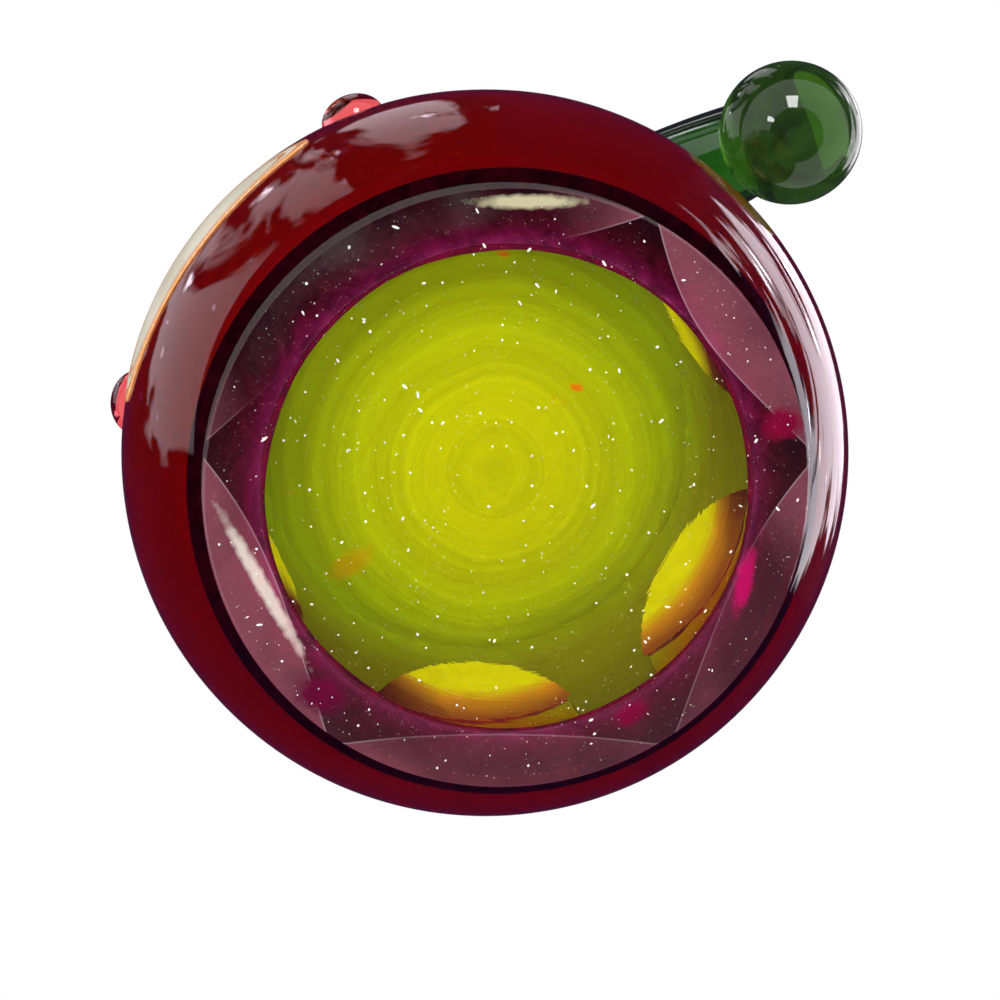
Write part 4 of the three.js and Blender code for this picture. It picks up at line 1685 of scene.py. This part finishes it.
def card_material(name, dark, pale):
    """Cloth, hardly lit."""
    material, tree, output = new_material(name)
    weave = noise(tree, object_place(tree), Scale=1.5)
    cloth = add(tree, "ShaderNodeEmission", Color=blend(tree, weave, dark, pale))
    link(tree, cloth.outputs[0], output.inputs["Surface"])
    return material


def dark_card(scene, centre, name, low, high, material):
    """Part of a dark dome, between two heights, that only reflections see."""
    dome = bmesh.new()
    bmesh.ops.create_uvsphere(dome, u_segments=48, v_segments=48, radius=CARD_DISTANCE)
    spare = [face for face in dome.faces if not low < face.calc_center_median().z / CARD_DISTANCE < high]
    bmesh.ops.delete(dome, geom=spare, context="FACES")
    stage_object(scene, dome, name, material, centre, ("camera", "diffuse", "transmission", "shadow"))


def glint_panel(scene, centre, name, turn, lean, width, strength):
    """Small bright pane that only reflections see."""
    material, tree, output = new_material(name)
    light = add(tree, "ShaderNodeEmission", Strength=strength)
    link(tree, light.outputs[0], output.inputs["Surface"])
    turns = (turn - width, turn + width)
    leans = (lean - width, lean + width)
    stage_panel(scene, centre, name, turns, leans, material, ("diffuse", "transmission"))


def soft_lamp(scene, centre, name, turn, lean, distance, size, power):
    """Soft lamp without a hard reflection."""
    out = aim(radians(turn), radians(lean))
    data = bpy.data.lights.new(name, "AREA")
    data.size = size
    data.energy = power
    lamp = bpy.data.objects.new(name, data)
    place = out.to_track_quat("Z", "Y").to_matrix().to_4x4()
    place.translation = centre + out * distance
    lamp.matrix_world = place
    lamp.visible_camera = False
    lamp.visible_glossy = False
    scene.collection.objects.link(lamp)


def pale_floor(scene, tone):
    """Floor under the base, open to the eye from below."""
    material, tree, output = new_material("Floor")
    grain = noise(tree, object_place(tree), Scale=30.0)
    pale = [min(1.0, channel * 1.03) for channel in tone]
    cover = add(
        tree,
        "ShaderNodeBsdfPrincipled",
        Base_Color=blend(tree, grain, tone, pale),
        Roughness=0.9,
        Specular_IOR_Level=0.0,
        Emission_Color=(1.0, 1.0, 1.0, 1.0),
        Emission_Strength=FLOOR_LIFT,
    )
    away = add(tree, "ShaderNodeBsdfTransparent")
    side = tree.nodes.new("ShaderNodeNewGeometry")
    shown = mix_shaders(tree, side.outputs["Backfacing"], cover.outputs[0], away.outputs[0])
    link(tree, shown, output.inputs["Surface"])
    sheet = bmesh.new()
    bmesh.ops.create_grid(sheet, x_segments=1, y_segments=1, size=FLOOR_SIZE)
    bmesh.ops.translate(sheet, verts=sheet.verts, vec=(0, 0, -FLOOR_DROP))
    hidden = ("diffuse", "glossy", "transmission", "shadow")
    stage_object(scene, sheet, "floor", material, (0, 0, 0), hidden)


class PAPERWEIGHT_OT_stage(bpy.types.Operator):
    """Camera, windows, world and floor"""

    bl_idname = "paperweight.stage"
    bl_label = "Stage"

    def execute(self, context):
        scene = context.scene
        centre = BallForm(scene.paperweight_ball).centre
        place_camera(scene, centre)
        light_world(scene)
        day = window_material("Window light", WINDOW_LEVEL, 5.0, 1.6)
        stage_panel(scene, centre, "window_left", (88, 182), (98, 145), day, ())
        bright = window_material("Bright window", BRIGHT_LEVEL, 2.0, 8.0)
        stage_panel(scene, centre, "window_right", (-24, 54), (108, 152), bright, ())
        glint_panel(scene, centre, "glint_left", 150, 40, 6, 18.0)
        glint_panel(scene, centre, "glint_top", 87, 48, 10, 16.0)
        dark = card_material("Dark card", (0.006, 0.002, 0.016), (0.04, 0.014, 0.07))
        dark_card(scene, centre, "card_above", 0.12, 1.0, dark)
        grey = card_material("Grey card", (0.02, 0.012, 0.03), (0.12, 0.08, 0.18))
        dark_card(scene, centre, "card_below", -1.0, -0.72, grey)
        soft_lamp(scene, centre, "lamp_below", 290, 4, 0.5, 0.14, 3.2)
        pale_floor(scene, scene.paperweight_colours.floor)
        scene.view_settings.view_transform = "Standard"
        return {"FINISHED"}


# Panel and registration

STEPS = ("ball", "face", "hair", "hat", "label", "dust", "stage")
GROUPS = ("ball", "face", "hair", "hat", "label", "dust", "colours")


class PAPERWEIGHT_PT_panel(bpy.types.Panel):
    """Sizes, colours and build steps of the paperweight"""

    bl_idname = "PAPERWEIGHT_PT_panel"
    bl_label = "Paperweight"
    bl_space_type = "VIEW_3D"
    bl_region_type = "UI"
    bl_category = "Paperweight"

    def draw(self, context):
        for step in STEPS:
            self.layout.operator(f"paperweight.{step}")
        for name in GROUPS:
            group = getattr(context.scene, f"paperweight_{name}")
            box = self.layout.box()
            box.label(text=name.capitalize())
            for key in group.bl_rna.properties.keys():
                if key not in {"rna_type", "name"}:
                    box.prop(group, key)


PROPERTY_CLASSES = (
    PaperweightBall,
    PaperweightFace,
    PaperweightHair,
    PaperweightHat,
    PaperweightLabel,
    PaperweightDust,
    PaperweightColours,
)
TOOL_CLASSES = (
    PAPERWEIGHT_OT_ball,
    PAPERWEIGHT_OT_face,
    PAPERWEIGHT_OT_hair,
    PAPERWEIGHT_OT_hat,
    PAPERWEIGHT_OT_label,
    PAPERWEIGHT_OT_dust,
    PAPERWEIGHT_OT_stage,
    PAPERWEIGHT_PT_panel,
)


def register():
    for kind in (*PROPERTY_CLASSES, *TOOL_CLASSES):
        bpy.utils.register_class(kind)
    for name, kind in zip(GROUPS, PROPERTY_CLASSES):
        setattr(bpy.types.Scene, f"paperweight_{name}", PointerProperty(type=kind))


def unregister():
    for name in GROUPS:
        delattr(bpy.types.Scene, f"paperweight_{name}")
    for kind in reversed((*PROPERTY_CLASSES, *TOOL_CLASSES)):
        bpy.utils.unregister_class(kind)


def main():
    register()
    striae_group()
    handling_group()
    swirl_group()
    spot_group()
    bpy.ops.paperweight.ball()
    bpy.ops.paperweight.face()
    bpy.ops.paperweight.hair()
    bpy.ops.paperweight.hat()
    bpy.ops.paperweight.label()
    bpy.ops.paperweight.dust()
    bpy.ops.paperweight.stage()


if __name__ == "__main__":
    main()
